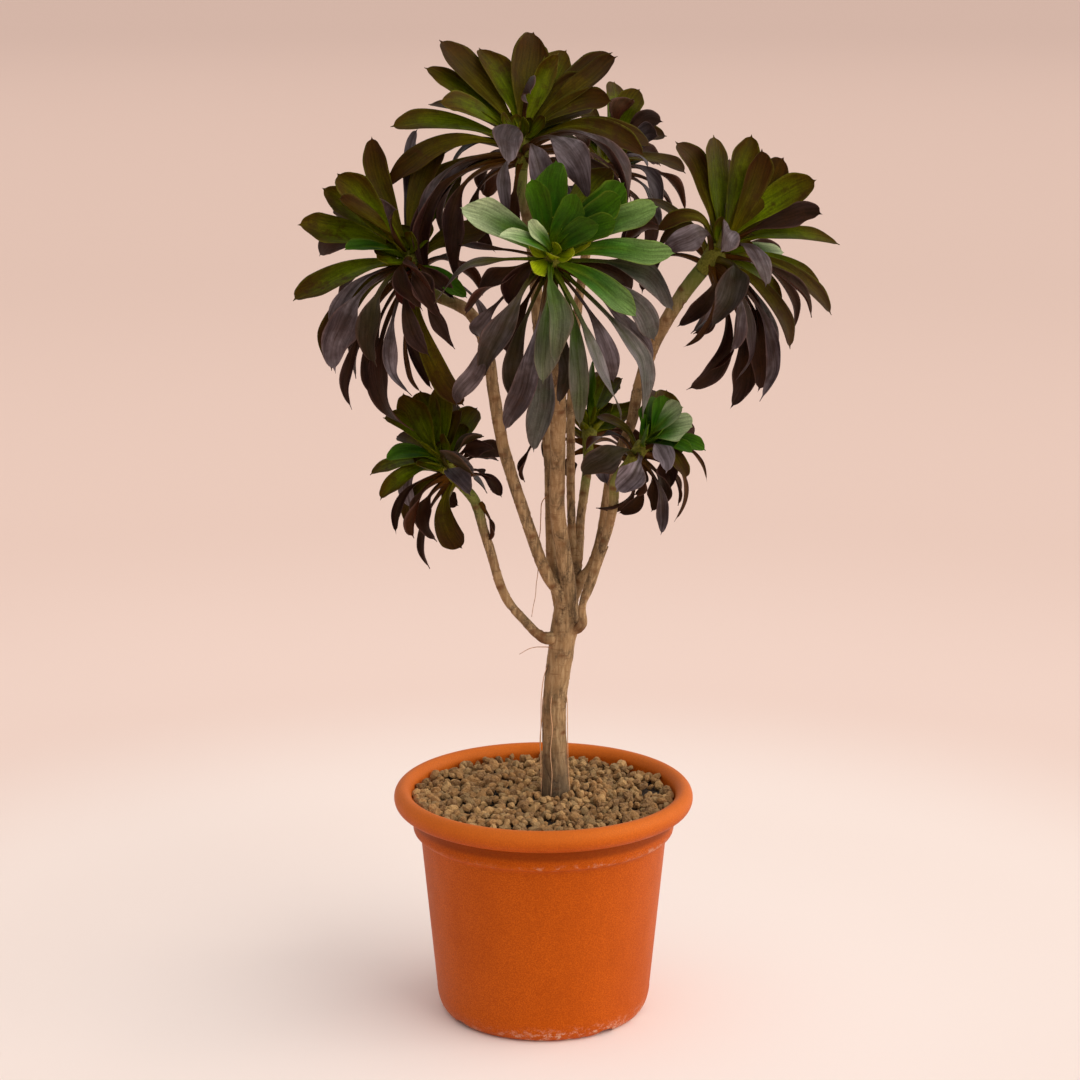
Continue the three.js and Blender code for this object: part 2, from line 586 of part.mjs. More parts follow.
// A bumpy layer of stones that rises a little towards the trunk.
function gravelSolid() {
  const edge = LIP_INNER_RADIUS - GRAVEL_EDGE_CLEARANCE;
  const bottom = NECK_INNER_RADIUS - GAP - MIX_EDGE_CLEARANCE;
  const profile = [[0, MIX_TOP], [bottom, MIX_TOP], [edge, LIP_HEIGHT], [edge + GRAVEL_SPREAD, GRAVEL_SIDE_TOP]];
  for (let i = 0; i <= GRAVEL_RINGS; i += 1) {
    const out = 1 - i / GRAVEL_RINGS;
    profile.push([edge * out, GRAVEL_EDGE_TOP + GRAVEL_MOUND * (1 - out)]);
  }
  const geometry = lathe(profile, GRAVEL_SIDES);
  const position = geometry.attributes.position;
  for (let i = 0; i < position.count; i += 1) {
    const [x, y, z] = [position.getX(i), position.getY(i), position.getZ(i)];
    const bump = Math.sin(0.9 * x + 1.3 * Math.sin(0.5 * y)) * Math.sin(0.8 * y + Math.sin(0.7 * x));
    if (z > GRAVEL_EDGE_TOP - 1 && Math.hypot(x, y) > 0.01) {
      position.setZ(i, z + GRAVEL_BUMP * bump);
    }
  }
  return solidOf(geometry);
}

// ---- assembly ----------------------------------------------------------------------------------------

const plant = new THREE.Group();

function place(name, solid, colour, roughness) {
  const material = new THREE.MeshStandardMaterial({ color: colour, roughness, metalness: 0 });
  const mesh = new THREE.Mesh(geometryOf(solid), material);
  mesh.name = name;
  plant.add(mesh);
}

// Pieces made so far, each swollen by the gap, which later pieces are cut clear of.
const taken = [];

function clearOf(solid) {
  return largest(taken.reduce((rest, other) => rest.subtract(other), solid));
}

place('pot', potSolid(), COLOURS.pot, 0.6);

place('trunk', solidOf(stemGeometry(TRUNK.path, TRUNK.radii, 0, TRUNK_SIDES)), COLOURS.bark, 0.85);
taken.push(solidOf(stemGeometry(TRUNK.path, TRUNK.radii, GAP, TRUNK_SIDES)));
place('potting_mix', clearOf(mixSolid()), COLOURS.mix, 0.95);
place('gravel', clearOf(gravelSolid()), COLOURS.gravel, 0.95);

for (const [name, branch] of Object.entries(BRANCHES)) {
  place(name, clearOf(branchSolid(branch)), COLOURS.bark, 0.85);
  taken.push(branchSolid(branch, GAP));
}

for (const { rosette, radii } of Object.values(BRANCHES)) {
  place(rosette, clearOf(rosetteSolid(ROSETTES[rosette], radii.at(-1))), COLOURS.leaf, 0.5);
  taken.push(rosetteSolid(ROSETTES[rosette], radii.at(-1), GAP));
}

for (const [name, { base, tip, bow, width }] of Object.entries(STEM_LEAVES)) {
  const up = new THREE.Vector3(0, 0, 1);
  const leaf = leafGeometry(vector(base), vector(tip), up, bow, width, 0);
  place(name, clearOf(solidOf(leaf)), COLOURS.leaf, 0.5);
  taken.push(solidOf(leafGeometry(vector(base), vector(tip), up, bow, width, 0, GAP)));
}

for (const [name, { path, radius }] of Object.entries(AERIAL_ROOTS)) {
  const root = stemGeometry(path, [radius, radius, radius * 0.7], 0, 5, 8);
  place(name, clearOf(solidOf(root)), COLOURS.root, 0.8);
}

export default plant;
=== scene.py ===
"""Looks of the potted aeonium: leaves, bark, pumice gravel and the rolled-rim pot, round the CAD frame.

Places and sizes in the tables are millimetres in the frame's axes, as in the part's own source;
MM turns them into metres where a mesh is made.
"""

import math

import bpy
import numpy as np
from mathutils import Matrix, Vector


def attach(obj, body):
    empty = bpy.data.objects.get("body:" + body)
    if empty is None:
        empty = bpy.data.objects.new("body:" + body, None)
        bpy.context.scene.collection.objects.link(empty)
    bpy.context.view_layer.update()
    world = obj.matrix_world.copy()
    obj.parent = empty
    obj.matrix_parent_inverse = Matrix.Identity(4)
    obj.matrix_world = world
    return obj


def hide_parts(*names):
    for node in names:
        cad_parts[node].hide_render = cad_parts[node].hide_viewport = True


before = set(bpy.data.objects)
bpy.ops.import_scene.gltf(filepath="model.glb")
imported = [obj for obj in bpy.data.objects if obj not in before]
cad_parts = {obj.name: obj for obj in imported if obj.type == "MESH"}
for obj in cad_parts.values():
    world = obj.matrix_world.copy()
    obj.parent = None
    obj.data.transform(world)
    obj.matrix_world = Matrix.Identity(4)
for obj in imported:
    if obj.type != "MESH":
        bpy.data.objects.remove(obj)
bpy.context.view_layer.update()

MM = 0.001
BODY = "root"
GOLDEN_ANGLE = math.pi * (3 - math.sqrt(5))

# ---- view ----

CAMERA_PLACE = (-0.0022, -1.578, 0.669)
CAMERA_DOWN = 12.9  # degrees below the horizon
CAMERA_LENS = 86.67
SENSOR = 36.0

BACKDROP = (216, 186, 171)  # above the far edge of the floor
FLOOR_RADIUS = 90  # metres
FLOOR_COLOURS = (  # metres from the middle, and the colour there: a painted pool of light round the pot that falls off with distance
    (0.0, (254, 240, 233)), (0.42, (248, 229, 220)), (0.75, (238, 210, 198)),
    (1.5, (230, 200, 187)), (4.0, (222, 192, 179)), (20.0, (208, 179, 167)),
)
SKY_STRENGTH = 0.46
LIGHTS = (  # name, direction it comes from, degrees of sky it fills, strength, colour
    ("key_light", (1.0, -0.6, 0.7), 60, 1.45, (255, 252, 246)),
    ("side_light", (1.0, 0.25, 0.4), 45, 0.75, (255, 247, 238)),
    ("top_light", (0.15, -0.1, 1.0), 110, 0.85, (255, 253, 250)),
)

# ---- pot ----

RIM_RADIUS = 95
RIM_TOP = 148
ROLL_HALF_WIDTH = 5.5
ROLL_HALF_HEIGHT = 6.7
SHOULDER_RADIUS = 78.2
SHOULDER_HEIGHT = 116.5
COLLAR_RADIUS = 83
COLLAR_HEIGHT = 122
COLLAR_TOP = 132.8
ROLL_EDGE = (88.6, 133.6)  # radius and height of the rim's crisp lower edge
NECK_INNER_RADIUS = 80.8
NECK_HEIGHT = 122
LIP_RADIUS = 81.6
LIP_HEIGHT = 134
FOOT_RADIUS = 68.6
FOOT_HEIGHT = 14
BASE_RADIUS = 61
WALL = 2
FLOOR = 3
NOTCH_COUNT = 4
NOTCH_FIRST_ANGLE = 37  # degrees from the front, towards +X
NOTCH_RADIUS = 11
NOTCH_HEIGHT = 3.8
NOTCH_INNER_RADIUS = 54
POT_AROUND = 320
NOTCH_CROWDING = 0.62  # how much closer the points stand round the notches
LEDGE_CHALK_AND_HIGHLIGHT = 121  # height of the chalky line on the ledge, which also serves as a painted highlight on the ledge's edge
FOOT_CHALK = (1, 13)  # heights between full chalk and none
SHADED_BAND = 129.5  # middle height of the band of painted shade under the rim's overhang
RIM_PAINTED_HIGHLIGHT = (136, 145)  # heights between the base colour and the full painted highlight on the rim's top

# ---- gravel ----

GRAVEL_RADIUS = 83
GRAVEL_TOP = 140
GRAVEL_MOUND = 2
TRUNK_PLACE = (8, 4)
BED_RADIUS = 81.2
BED_FOOT = 126.2
BED_FOOT_SHARE = 0.945  # how wide the bed's foot is beside its top
BED_DEPTH = 3.6  # below the tops of the stones, so the dark bed shows in the gaps as painted shade
STONE_COUNT = 900
STONE_SIZES = (2.3, 4.2)
STONE_SINK = (-2.2, 1.5)
STONE_CUTS = 8
STONE_COLOURS = ((166, 118, 68), (146, 100, 52), (192, 148, 94), (112, 74, 38), (142, 112, 72))
TRUNK_CLEARANCE = 9.5
POT_INSIDE = (80.5, 133, 0.55)  # radius at a height, and how fast it widens above it
BARE_PATCH = (69, 12, 9)  # x, y and radius of a spot where the dark mix shows

# ---- stems: centre line points and radii ----

STEM_AROUND = 44
STEM_SPACING = 1.3
SCAR_SPACING = 6.875  # from one leaf scar to the next
COLLAR_PLACE = 11.5  # of a swollen collar, from the branch's hidden end
COLLAR_SWELL = 0.18
SWOLLEN = ("lower_left", "lower_right")
GREEN_END = (38, 4)  # distances from the tip between bark and full green
DARKER_FOOT = (148, 185)  # heights on the trunk between darkest and its plain colour
CLINGING_RADII = (0.2, 0.26, 0.26, 0.2)
ROOT_AROUND = 10

TRUNK = {
    "path": [(8, 4, 96), (8, 4, 137), (7, 3, 170), (7, 3, 201), (11, 2, 235), (14, 1, 258), (15, 1, 270)],
    "radii": [7, 8.6, 7.7, 7.4, 8, 8.4, 6.6],
}

BRANCHES = {
    "front": {
        "path": [
            (14, -1, 258), (15.5, -3, 276), (12, -8, 302), (8.6, -14, 329), (8.6, -22, 363),
            (9, -30, 399), (8, -38, 424),
        ],
        "radii": [5.6, 5.2, 4.9, 4.7, 4.7, 4.7, 4.6, 4.5, 4.4],
    },
    "left": {
        "path": [
            (13, -3, 266), (10, -4, 275), (3.4, -5, 284.5), (-3.4, -8, 301), (-9.6, -11, 320),
            (-18, -13, 346), (-25, -15, 371), (-30, -17, 402), (-34, -18, 428), (-44, -19, 452),
        ],
        "radii": [4.4, 4, 3.8, 3.7, 3.7, 3.7, 3.7, 3.7, 3.7, 3.7, 3.7, 3.8],
    },
    "lower_left": {
        "path": [
            (9, 0, 246), (2.5, -2, 244.8), (-3, -3, 247.4), (-12, -4, 257), (-22, -4, 269),
            (-27.4, -4, 281), (-32, -3.5, 298), (-37, -3, 314),
        ],
        "radii": [4.2, 3.9, 3, 2.8, 2.8, 2.8, 2.9, 3, 3.2, 3.4],
    },
    "lower_right": {
        "path": [
            (13, -1, 251), (20, -4, 251), (24.2, -7, 256), (24, -9, 266), (26, -9.5, 276),
            (30.6, -10, 289), (36, -11, 304), (40, -12.5, 318), (43, -14, 333),
        ],
        "radii": [2.6, 2.8, 2.9, 2.4, 2.3, 2.4, 2.6, 2.8, 3, 3.2, 3.4],
        "twig": {"path": [(25, -8.4, 269), (29.5, -4, 277), (34, -2, 289), (39.5, -1, 304)],
                 "radii": [1.5, 1.4, 1.2, 1]},
    },
    "right": {
        "path": [
            (15, 2, 262), (22, 4, 279), (29, 5, 288), (34, 5, 302), (37.5, 5, 320), (41, 4, 345),
            (48, 2, 366), (54, 1, 381), (58, -1, 402), (66, -4, 428), (77, -6, 450),
        ],
        "radii": [4.6, 4, 3.2, 2.8, 2.8, 2.9, 3.1, 3.3, 3.6, 3.9, 4.2, 4.5, 4.7],
    },
    "top": {
        "path": [
            (11, 4, 262), (6.6, 7, 284), (4.8, 9, 310), (3.8, 9, 357), (-1, 6, 400), (-3, 4, 440),
            (-8, 2, 500),
        ],
        "radii": [4.4, 3.8, 3.6, 3.6, 3.7, 3.8, 3.8, 3.8, 3.8],
    },
    "back": {
        "path": [
            (14, 4, 262), (19, 11, 292), (17.6, 16, 315), (17, 24, 355), (17.6, 32, 397), (22, 41, 452),
            (28, 45, 490),
        ],
        "radii": [4, 3, 2.6, 2.6, 2.7, 2.8, 3, 3.2, 3.2],
    },
    "inner": {
        "path": [(17, 3, 262), (21.5, 10, 291), (23.5, 20, 318)],
        "radii": [4, 3, 2.8, 2.9, 3],
    },
}

AERIAL_ROOTS = {
    "hanging_root": {
        "path": [
            (3, 8.5, 335), (-1.2, 5, 330), (-2, 1, 315.6), (-2.6, -0.5, 303), (-3.3, -1, 292),
            (-4.8, -3, 277), (-7.2, -4, 259.3),
        ],
        "radius": 0.6,
    },
    "side_rootlet": {
        "path": [(6, -3, 239), (0, -5, 240), (-5, -5.5, 240.3), (-10.3, -6, 238.9), (-15.5, -6, 236)],
        "radius": 0.6,
    },
}

CLINGING_ROOTS = (
    [(4, 0, 228), (1, 0.5, 222), (-1.3, 0, 207), (-1.6, 0, 188), (-1.9, 0.5, 172), (-1.4, 1, 141)],
    [(4, 2, 216), (-0.2, 2.5, 205), (-1, 3, 190), (-2.2, 3, 176), (-0.7, 2, 160), (-1.3, 3, 141)],
    [(14, 0, 214), (15, 0.4, 203), (15.2, 0, 188), (15.4, 0.5, 172), (15.8, 1, 158), (17, 1.5, 141)],
    [(6, -4.4, 212), (4.5, -5, 200), (5.6, -4.9, 186), (4.4, -4.8, 171), (5.4, -5, 156), (4.6, -5, 141)],
)

STEM_LEAVES = {
    "lower_stem_leaf": {
        "base": (-39.6, -3.4, 332), "tip": (-32.5, -5, 309), "bow": 3, "width": 8, "kind": "maroon",
    },
    "upper_stem_leaf": {
        "base": (0.5, 7, 376), "tip": (-15.9, -1, 346.8), "bow": 3, "width": 9, "kind": "maroon",
    },
}

# ---- leaves ----
# A leaf is (right, back, up, bow, width, twist, finish): its tip from the crown, how far its middle
# bows out towards the axis, its blade's width, its twist at the tip in degrees, and its finish.

ROSETTES = {
    "front": {
        "crown": (4, -60, 491), "axis": (0, -0.8, 0.6), "behind": 5, "reach": 82, "heart": "heart",
        "leaves": [
            (-51, -5, 32, 4, 21, 0, "pale"), (-2, 5, 55, 4, 20, 0, "green"),
            (-10, -12, 47, 3, 14, -15, "green"), (17, -15, 37, 3, 16, 0, "green"),
            (45, 5, 41, 3, 20, 0, "green"), (42, -8, 34, 3, 17, 0, "green"),
            (27, -20, 23, 3, 15, 0, "green"), (38, -12, 22, 4, 15, 10, "green"),
            (63, -5, 28, 6, 16, 0, "sheen"), (72, -10, 0, 9, 15, 0, "sheen"),
            (76, -4, -17, 8, 18, 0, "silver"), (49, -22, -33, 9, 16, 10, "sheen"),
            (66, -6, -45, 14, 17, 10, "silver"), (64, 2, -60, 14, 13, 20, "violet"),
            (68, -4, -84, 16, 17, 0, "silver"), (36, -25, -91, 18, 20, -10, "silver"),
            (41, -8, -72, 12, 12, 30, "violet"), (6, -44, -50, 16, 18, 0, "teal"),
            (-4, -12, -114, 20, 20, 0, "silver"), (-20, -18, -103, 18, 20, 10, "violet"),
            (-3, -32, -69, 16, 20, 0, "teal"), (-68, -20, -12, 13, 13, 20, "hooked"),
            (-42, -18, -66, 24, 19, -20, "dusk"), (-54, 2, -92, 26, 16, 20, "violet"),
            (-30, -34, 16, 6, 13, 30, "pale"), (-14, -22, 22, 3, 10, 0, "pale"),
            (-27, 12, -58, 14, 14, 0, "maroon"), (-50, -4, -27, 15, 22, 0, "maroon"),
            (-25, -10, -88, 20, 14, 20, "dusk"), (-28, -12, -25, 12, 17, 0, "maroon"),
            (22, -20, -96, 18, 15, -15, "teal"), (52, 2, -34, 12, 13, 10, "violet"),
            (14, -8, -84, 14, 14, 15, "dusk"),
        ],
    },
    "top": {
        "crown": (-13, 0, 553), "axis": (0.02, -0.12, 0.99), "behind": 12, "reach": 78,
        "leaves": [
            (-50, 15, 60, 3, 23, 0, "brown"), (-58, 4, 45, 3, 17, 0, "olive"),
            (-21, 22, 56, 2, 20, 0, "olive"), (10, 28, 63, 2, 25, 0, "brown"),
            (20, 8, 54, 2, 15, 65, "olive"), (53, 12, 54, 4, 20, 0, "brown"),
            (58, 0, 49, 4, 17, 0, "brown"), (-79, -6, 12, 7, 16, 0, "olive"),
            (-49, -12, 29, 4, 16, 0, "olive"), (2, -42, 36, 10, 18, 0, "violet"),
            (-13, -60, -5, 16, 21, 0, "violet"), (-11, -36, -42, 20, 10, 0, "violet"),
            (77, -14, -2, 15, 13, 0, "brown"), (73, -30, -6, 16, 15, 0, "brown"),
            (54, -12, 28, 8, 15, 10, "brown"), (69, -46, -28, 24, 20, 0, "violet"),
            (42, -60, -26, 21, 22, 0, "violet"), (14, -48, -36, 22, 18, 0, "violet"),
            (-79, -14, -27, 18, 16, 0, "brown"), (-70, -6, -40, 9, 18, 0, "brown"),
            (-63, -30, -71, 30, 13, 20, "violet"), (-41, -22, -77, 26, 19, 0, "maroon"),
            (-46, 18, -24, 16, 16, 0, "maroon"), (42, 8, 40, 5, 18, 0, "brown"),
            (-63, -22, -79, 26, 17, 0, "maroon"), (-21, 10, -63, 18, 16, 0, "maroon"),
            (-51, -5, -54, 20, 14, 0, "violet"), (-6, -10, -58, 14, 17, 0, "maroon"),
            (60, -10, -44, 18, 15, 15, "maroon"), (30, -24, -62, 20, 15, -10, "violet"),
            (48, 14, -30, 16, 15, 0, "maroon"),
        ],
    },
    "back": {
        "crown": (38, 55, 535), "axis": (0.22, 0.3, 0.93), "behind": 12, "reach": 66,
        "leaves": [
            (13, 8, 42, 2, 20, 0, "maroon"), (34, 0, 32, 4, 21, 0, "maroon"),
            (31, -22, 20, 8, 18, 0, "violet"), (51, -2, -4, 9, 16, 0, "brown"),
            (28, -24, 2, 8, 12, 0, "violet"), (37, -10, -22, 14, 12, 20, "violet"),
            (46, 6, -40, 16, 15, 0, "maroon"), (12, -18, -44, 16, 15, 0, "maroon"),
            (-16, 4, 38, 3, 17, 0, "brown"), (30, 2, -60, 14, 15, 10, "maroon"),
        ],
    },
    "left": {
        "crown": (-81, -20, 486), "axis": (-0.5, -0.34, 0.8), "behind": 9, "reach": 76,
        "leaves": [
            (-22, 15, 71, 4, 15, 0, "brown"), (-38, -14, 54, 3, 19, 0, "olive"),
            (-50, -8, 43, 3, 18, 0, "olive"), (-39, -30, 38, 3, 18, 0, "brown"),
            (-64, -18, 20, 4, 20, 0, "olive"), (-35, -34, 9, 4, 12, 0, "green"),
            (-67, -18, -25, 7, 20, 0, "olive"), (-53, 2, -66, 14, 18, 0, "brown"),
            (-43, -24, -60, 16, 22, 0, "violet"), (-35, -6, -71, 13, 18, 0, "maroon"),
            (-19, -38, -55, 17, 24, 0, "dusk"), (-39, -12, -88, 14, 10, 30, "maroon"),
            (-13, -4, -103, 14, 22, 0, "maroon"), (3, 8, -84, 8, 4, 0, "dry"),
            (8, -28, -54, 14, 14, 0, "maroon"), (14, -6, -77, 12, 12, 0, "maroon"),
            (28, -14, -53, 15, 13, 0, "maroon"), (2, 24, 75, 3, 12, 60, "violet"),
            (22, 18, 72, 7, 16, 0, "brown"), (-6, -46, 40, 7, 16, 0, "violet"),
            (2, -34, -26, 13, 14, 0, "maroon"), (20, -40, -26, 14, 17, 0, "maroon"),
            (13, -46, -12, 12, 16, 0, "maroon"), (30, 0, -92, 16, 14, 0, "brown"),
            (34, -14, -24, 10, 11, 0, "green"), (18, -14, -29, 10, 15, 0, "maroon"),
            (2, -14, -30, 10, 14, 0, "red"), (24, -20, -22, 12, 17, 0, "maroon"),
            (-24, 4, -86, 12, 13, 0, "maroon"), (-48, -10, -44, 12, 14, 10, "violet"),
            (-8, -20, -80, 13, 13, -20, "violet"),
        ],
    },
    "right": {
        "crown": (105, -10, 489), "axis": (0.6, -0.15, 0.78), "behind": 10, "reach": 74,
        "leaves": [
            (-21, 12, 67, 5, 18, 0, "brown"), (-2, 16, 68, 2, 20, 0, "olive"),
            (19, 14, 69, 2, 20, 0, "olive"), (26, -5, 61, 3, 20, 0, "brown"),
            (43, 5, 53, 3, 22, 0, "brown"), (57, -6, 45, 3, 20, 0, "olive"),
            (58, -16, 25, 4, 20, 0, "maroon"), (73, -4, 5, 9, 14, 0, "olive"),
            (42, 15, -3, 3, 12, 0, "pale"), (63, 0, -22, 6, 14, 0, "olive"),
            (70, -9, -36, 11, 12, 0, "brown"), (58, -24, -32, 9, 12, 10, "maroon"),
            (40, 16, -36, 8, 14, 0, "olive"), (46, -14, -57, 10, 15, 0, "brown"),
            (34, -20, -85, 15, 12, 30, "violet"), (25, -8, -83, 14, 16, 0, "maroon"),
            (13, 1, -96, 13, 18, 0, "maroon"), (-11, -3, -85, 15, 16, 0, "maroon"),
            (4, -10, -70, 14, 18, 0, "maroon"), (7, -30, -56, 14, 14, 0, "violet"),
            (-1, -44, -37, 18, 22, 0, "dusk"), (-12, 12, -52, 13, 19, 0, "maroon"),
            (-18, -6, -59, 11, 5, 0, "dry"), (-3, -54, 8, 15, 22, 0, "violet"),
            (22, -54, -10, 14, 21, 0, "violet"), (-30, -25, 0, 18, 20, 0, "violet"),
            (-38, -8, 14, 18, 10, 0, "brown"), (-36, 8, 2, 16, 10, 0, "brown"),
            (28, -2, -62, 12, 12, 15, "maroon"), (36, -6, -68, 12, 11, -15, "violet"),
            (-20, -22, -44, 14, 14, 20, "maroon"), (16, -22, -72, 13, 12, 25, "violet"),
        ],
    },
    "lower_left": {
        "crown": (-60, -3, 355), "axis": (-0.62, -0.05, 0.78), "behind": 8, "reach": 50,
        "leaves": [
            (-38, -9, 35, 3, 18, 0, "olive"), (-23, 0, 46, 2, 21, 0, "olive"),
            (-14, 10, 46, 2, 18, 0, "olive"), (-2, 5, 49, 2, 16, 0, "olive"),
            (-38, -6, 7, 6, 12, 0, "green"), (-46, -4, -5, 7, 12, 0, "olive"),
            (-39, -11, -19, 9, 12, 0, "olive"), (-34, -10, -37, 10, 7, 0, "maroon"),
            (-25, 5, -40, 9, 12, 0, "brown"), (-20, -20, -38, 10, 18, 0, "maroon"),
            (-12, -10, -43, 9, 16, 0, "maroon"), (-15, 5, -64, 8, 10, 0, "maroon"),
            (9, -11, -50, 9, 17, 0, "brown"), (12, -42, 6, 13, 20, 0, "dusk"),
            (15, -33, -10, 12, 20, 0, "violet"), (22, -15, 22, 6, 16, 0, "dusk"),
            (9, 2, 35, 3, 12, 0, "brown"), (4, 9, 32, 3, 14, 0, "olive"), (32, 5, 3, 7, 14, 0, "maroon"),
            (28, -12, 14, 7, 14, 0, "maroon"), (28, -2, -13, 9, 12, 0, "maroon"),
            (36, -6, -17, 8, 9, 0, "maroon"), (7, 5, -25, 8, 13, 0, "maroon"),
        ],
    },
    "lower_right": {
        "crown": (61, -20, 371), "axis": (0.6, -0.14, 0.79), "behind": 8, "reach": 46, "heart": "green",
        "leaves": [
            (28, -10, 13, 3, 22, 0, "pale"), (23, -5, 26, 2, 18, 0, "pale"),
            (14, 1, 31, 2, 17, 0, "green"), (6, 6, 30, 2, 15, 0, "green"), (0, 5, 26, 2, 14, 0, "green"),
            (38, -4, -1, 5, 12, 0, "green"), (30, -13, -1, 4, 11, 0, "green"),
            (40, -5, -17, 11, 3, 0, "dry"), (21, -15, -42, 18, 5, 0, "dry"),
            (23, -9, -34, 9, 8, 20, "maroon"), (24, -20, -16, 9, 10, 0, "brown"),
            (11, -34, -7, 9, 14, 0, "violet"), (15, -15, -21, 8, 16, 0, "maroon"),
            (9, -20, -50, 9, 9, 20, "violet"), (12, -5, -37, 7, 12, 0, "maroon"),
            (3, -13, -36, 8, 13, 0, "maroon"), (-4, -8, -28, 7, 13, 0, "maroon"),
            (-12, 0, -44, 9, 11, 0, "maroon"), (-14, -29, -23, 12, 19, 0, "violet"),
            (-27, 6, -41, 12, 12, 0, "maroon"), (-32, -20, -15, 13, 24, 0, "dusk"),
        ],
    },
    "inner": {
        "crown": (29, 44, 368), "axis": (0.06, 0.42, 0.9), "behind": 9, "reach": 48,
        "leaves": [
            (-9, -10, -27, 9, 12, 0, "maroon"), (-14, -4, 38, 2, 14, 0, "olive"),
            (20, 0, 36, 3, 15, 0, "olive"), (2, -8, 46, 2, 16, 0, "green"),
            (-30, 2, 16, 5, 14, 0, "brown"), (30, -10, 14, 6, 14, 0, "olive"),
            (-24, -6, -18, 9, 12, 0, "maroon"), (14, -14, -24, 9, 12, 0, "maroon"),
            (-34, 6, -6, 8, 13, 0, "brown"), (34, 4, -10, 8, 13, 0, "maroon"),
        ],
    },
}

CROWN_TOP = 5
CROWN_FOOT = 16
CROWN_EXTRA_RADIUS = 2.2
HEART_LEAVES = 9
HEART_REACH = 26
HEART_WIDTH = 8
LEAF_ROOT_WIDTH = 3.6
LIGHT = np.array([0.25, -0.9, 0.36])
LIGHT_PULL = 0.55
LIGHT_LIMIT = math.radians(70)
LEAF_ROWS = 36
LEAF_AROUND = 20
CORE_AROUND = 28

# How leaves grow: limits that a leaf's own value is drawn between.
YOUNG_LEAF = {
    "hook": 0.04, "twirl": (0, 0), "fullness": (1, 1), "start": (0, 0), "widest": (0.76, 0.86),
    "swell": (1.4, 1.9), "sharp": (0.62, 0.85), "cup": (0.15, 0.45), "ripple": (0, 0.07),
}
OLD_LEAF = {
    "hook": 0.22, "twirl": (-1.4, 1.4), "fullness": (0.72, 0.96), "start": (0.3, 0.5),
    "widest": (0.74, 0.86), "swell": (1.2, 1.8), "sharp": (0.55, 0.85), "cup": (0, 0.9),
    "ripple": (0.02, 0.16),
}

# Leaf finishes as screen colours, 0 to 255: stalk, blade, tip, underside, and how much waxy bloom with
# painted sheen.
LEAF_FINISHES = {
    "heart": ((140, 156, 12), (148, 164, 12), (168, 176, 26), (150, 166, 12), 0.0),
    "green": ((90, 112, 3), (26, 66, 0), (52, 86, 6), (50, 84, 2), 0.03),
    "pale": ((92, 116, 12), (52, 92, 20), (158, 170, 126), (90, 116, 36), 0.08),
    "sheen": ((92, 116, 12), (42, 84, 12), (98, 124, 66), (76, 104, 22), 0.08),
    "olive": ((104, 108, 4), (80, 94, 1), (62, 42, 1), (84, 90, 3), 0.0),
    "brown": ((98, 88, 4), (66, 54, 0), (50, 24, 1), (62, 44, 2), 0.02),
    "maroon": ((84, 50, 8), (44, 20, 8), (36, 14, 10), (58, 26, 12), 0.06),
    "violet": ((80, 52, 20), (40, 24, 20), (46, 30, 32), (44, 20, 14), 0.85),
    "dusk": ((74, 66, 12), (42, 35, 10), (40, 30, 18), (42, 30, 8), 0.25),
    "silver": ((88, 96, 14), (46, 54, 26), (84, 84, 78), (52, 46, 14), 0.55),
    "teal": ((88, 112, 6), (52, 78, 8), (84, 88, 62), (56, 72, 12), 0.3),
    "hooked": ((92, 110, 8), (66, 62, 8), (66, 52, 50), (54, 52, 6), 0.25),
    "red": ((92, 44, 18), (74, 20, 16), (68, 18, 20), (84, 28, 24), 0.08),
    "dry": ((100, 66, 34), (80, 50, 28), (66, 40, 24), (80, 50, 28), 0.05),
}
# lilac-grey of the waxy bloom, also laid on as a painted sheen on faces turned to the light
BLOOM_SHEEN_COLOUR = (146, 132, 138)
MOTTLE = (52, 26, 6)
VEIN = (132, 136, 40)
# pale edge of the old leaves: partly their own edge colour, partly a painted rim highlight
MARGIN_AND_RIM_HIGHLIGHT = (132, 96, 86)
CORE = (120, 118, 46)
MOTTLING = {"heart": 0, "green": 0.15, "pale": 0.05, "sheen": 0.05, "olive": 0.8, "brown": 0.9, "teal": 0.2}
OTHER_MOTTLING = 0.5
VEINED = ("olive", "brown", "green", "pale", "sheen")
OLD = ("maroon", "violet", "dusk", "silver", "teal", "hooked", "red", "dry")
AGEING = ("olive", "brown", "brown", "maroon", "maroon", "maroon", "violet")


# ---- array helpers ----

def unit(vectors):
    """Vectors scaled to length one."""
    return vectors / np.linalg.norm(vectors, axis=-1, keepdims=True)


def linear(colour):
    """A screen colour of 0 to 255 as scene-linear values, by the sRGB curve."""
    c = np.asarray(colour, float) / 255
    return np.where(c < 0.04045, c / 12.92, ((c + 0.055) / 1.055) ** 2.4)


def smooth(low, high, x):
    """0 below low, 1 above high, and 3s^2 - 2s^3 of the share s in between."""
    s = np.clip((x - low) / (high - low), 0, 1)
    return s * s * (3 - 2 * s)


def lumps(points, size, seed, waves=7):
    """Soft noise from -1 to 1: the mean of sine waves in random directions, each about size long."""
    rng = np.random.default_rng(seed)
    directions = unit(rng.normal(size=(waves, 3))) * (2 * math.pi / size) * rng.uniform(0.7, 1.5, (waves, 1))
    phases = rng.uniform(0, 2 * math.pi, waves)
    return np.sin(points @ directions.T + phases).sum(-1) / waves ** 0.5 / 1.4


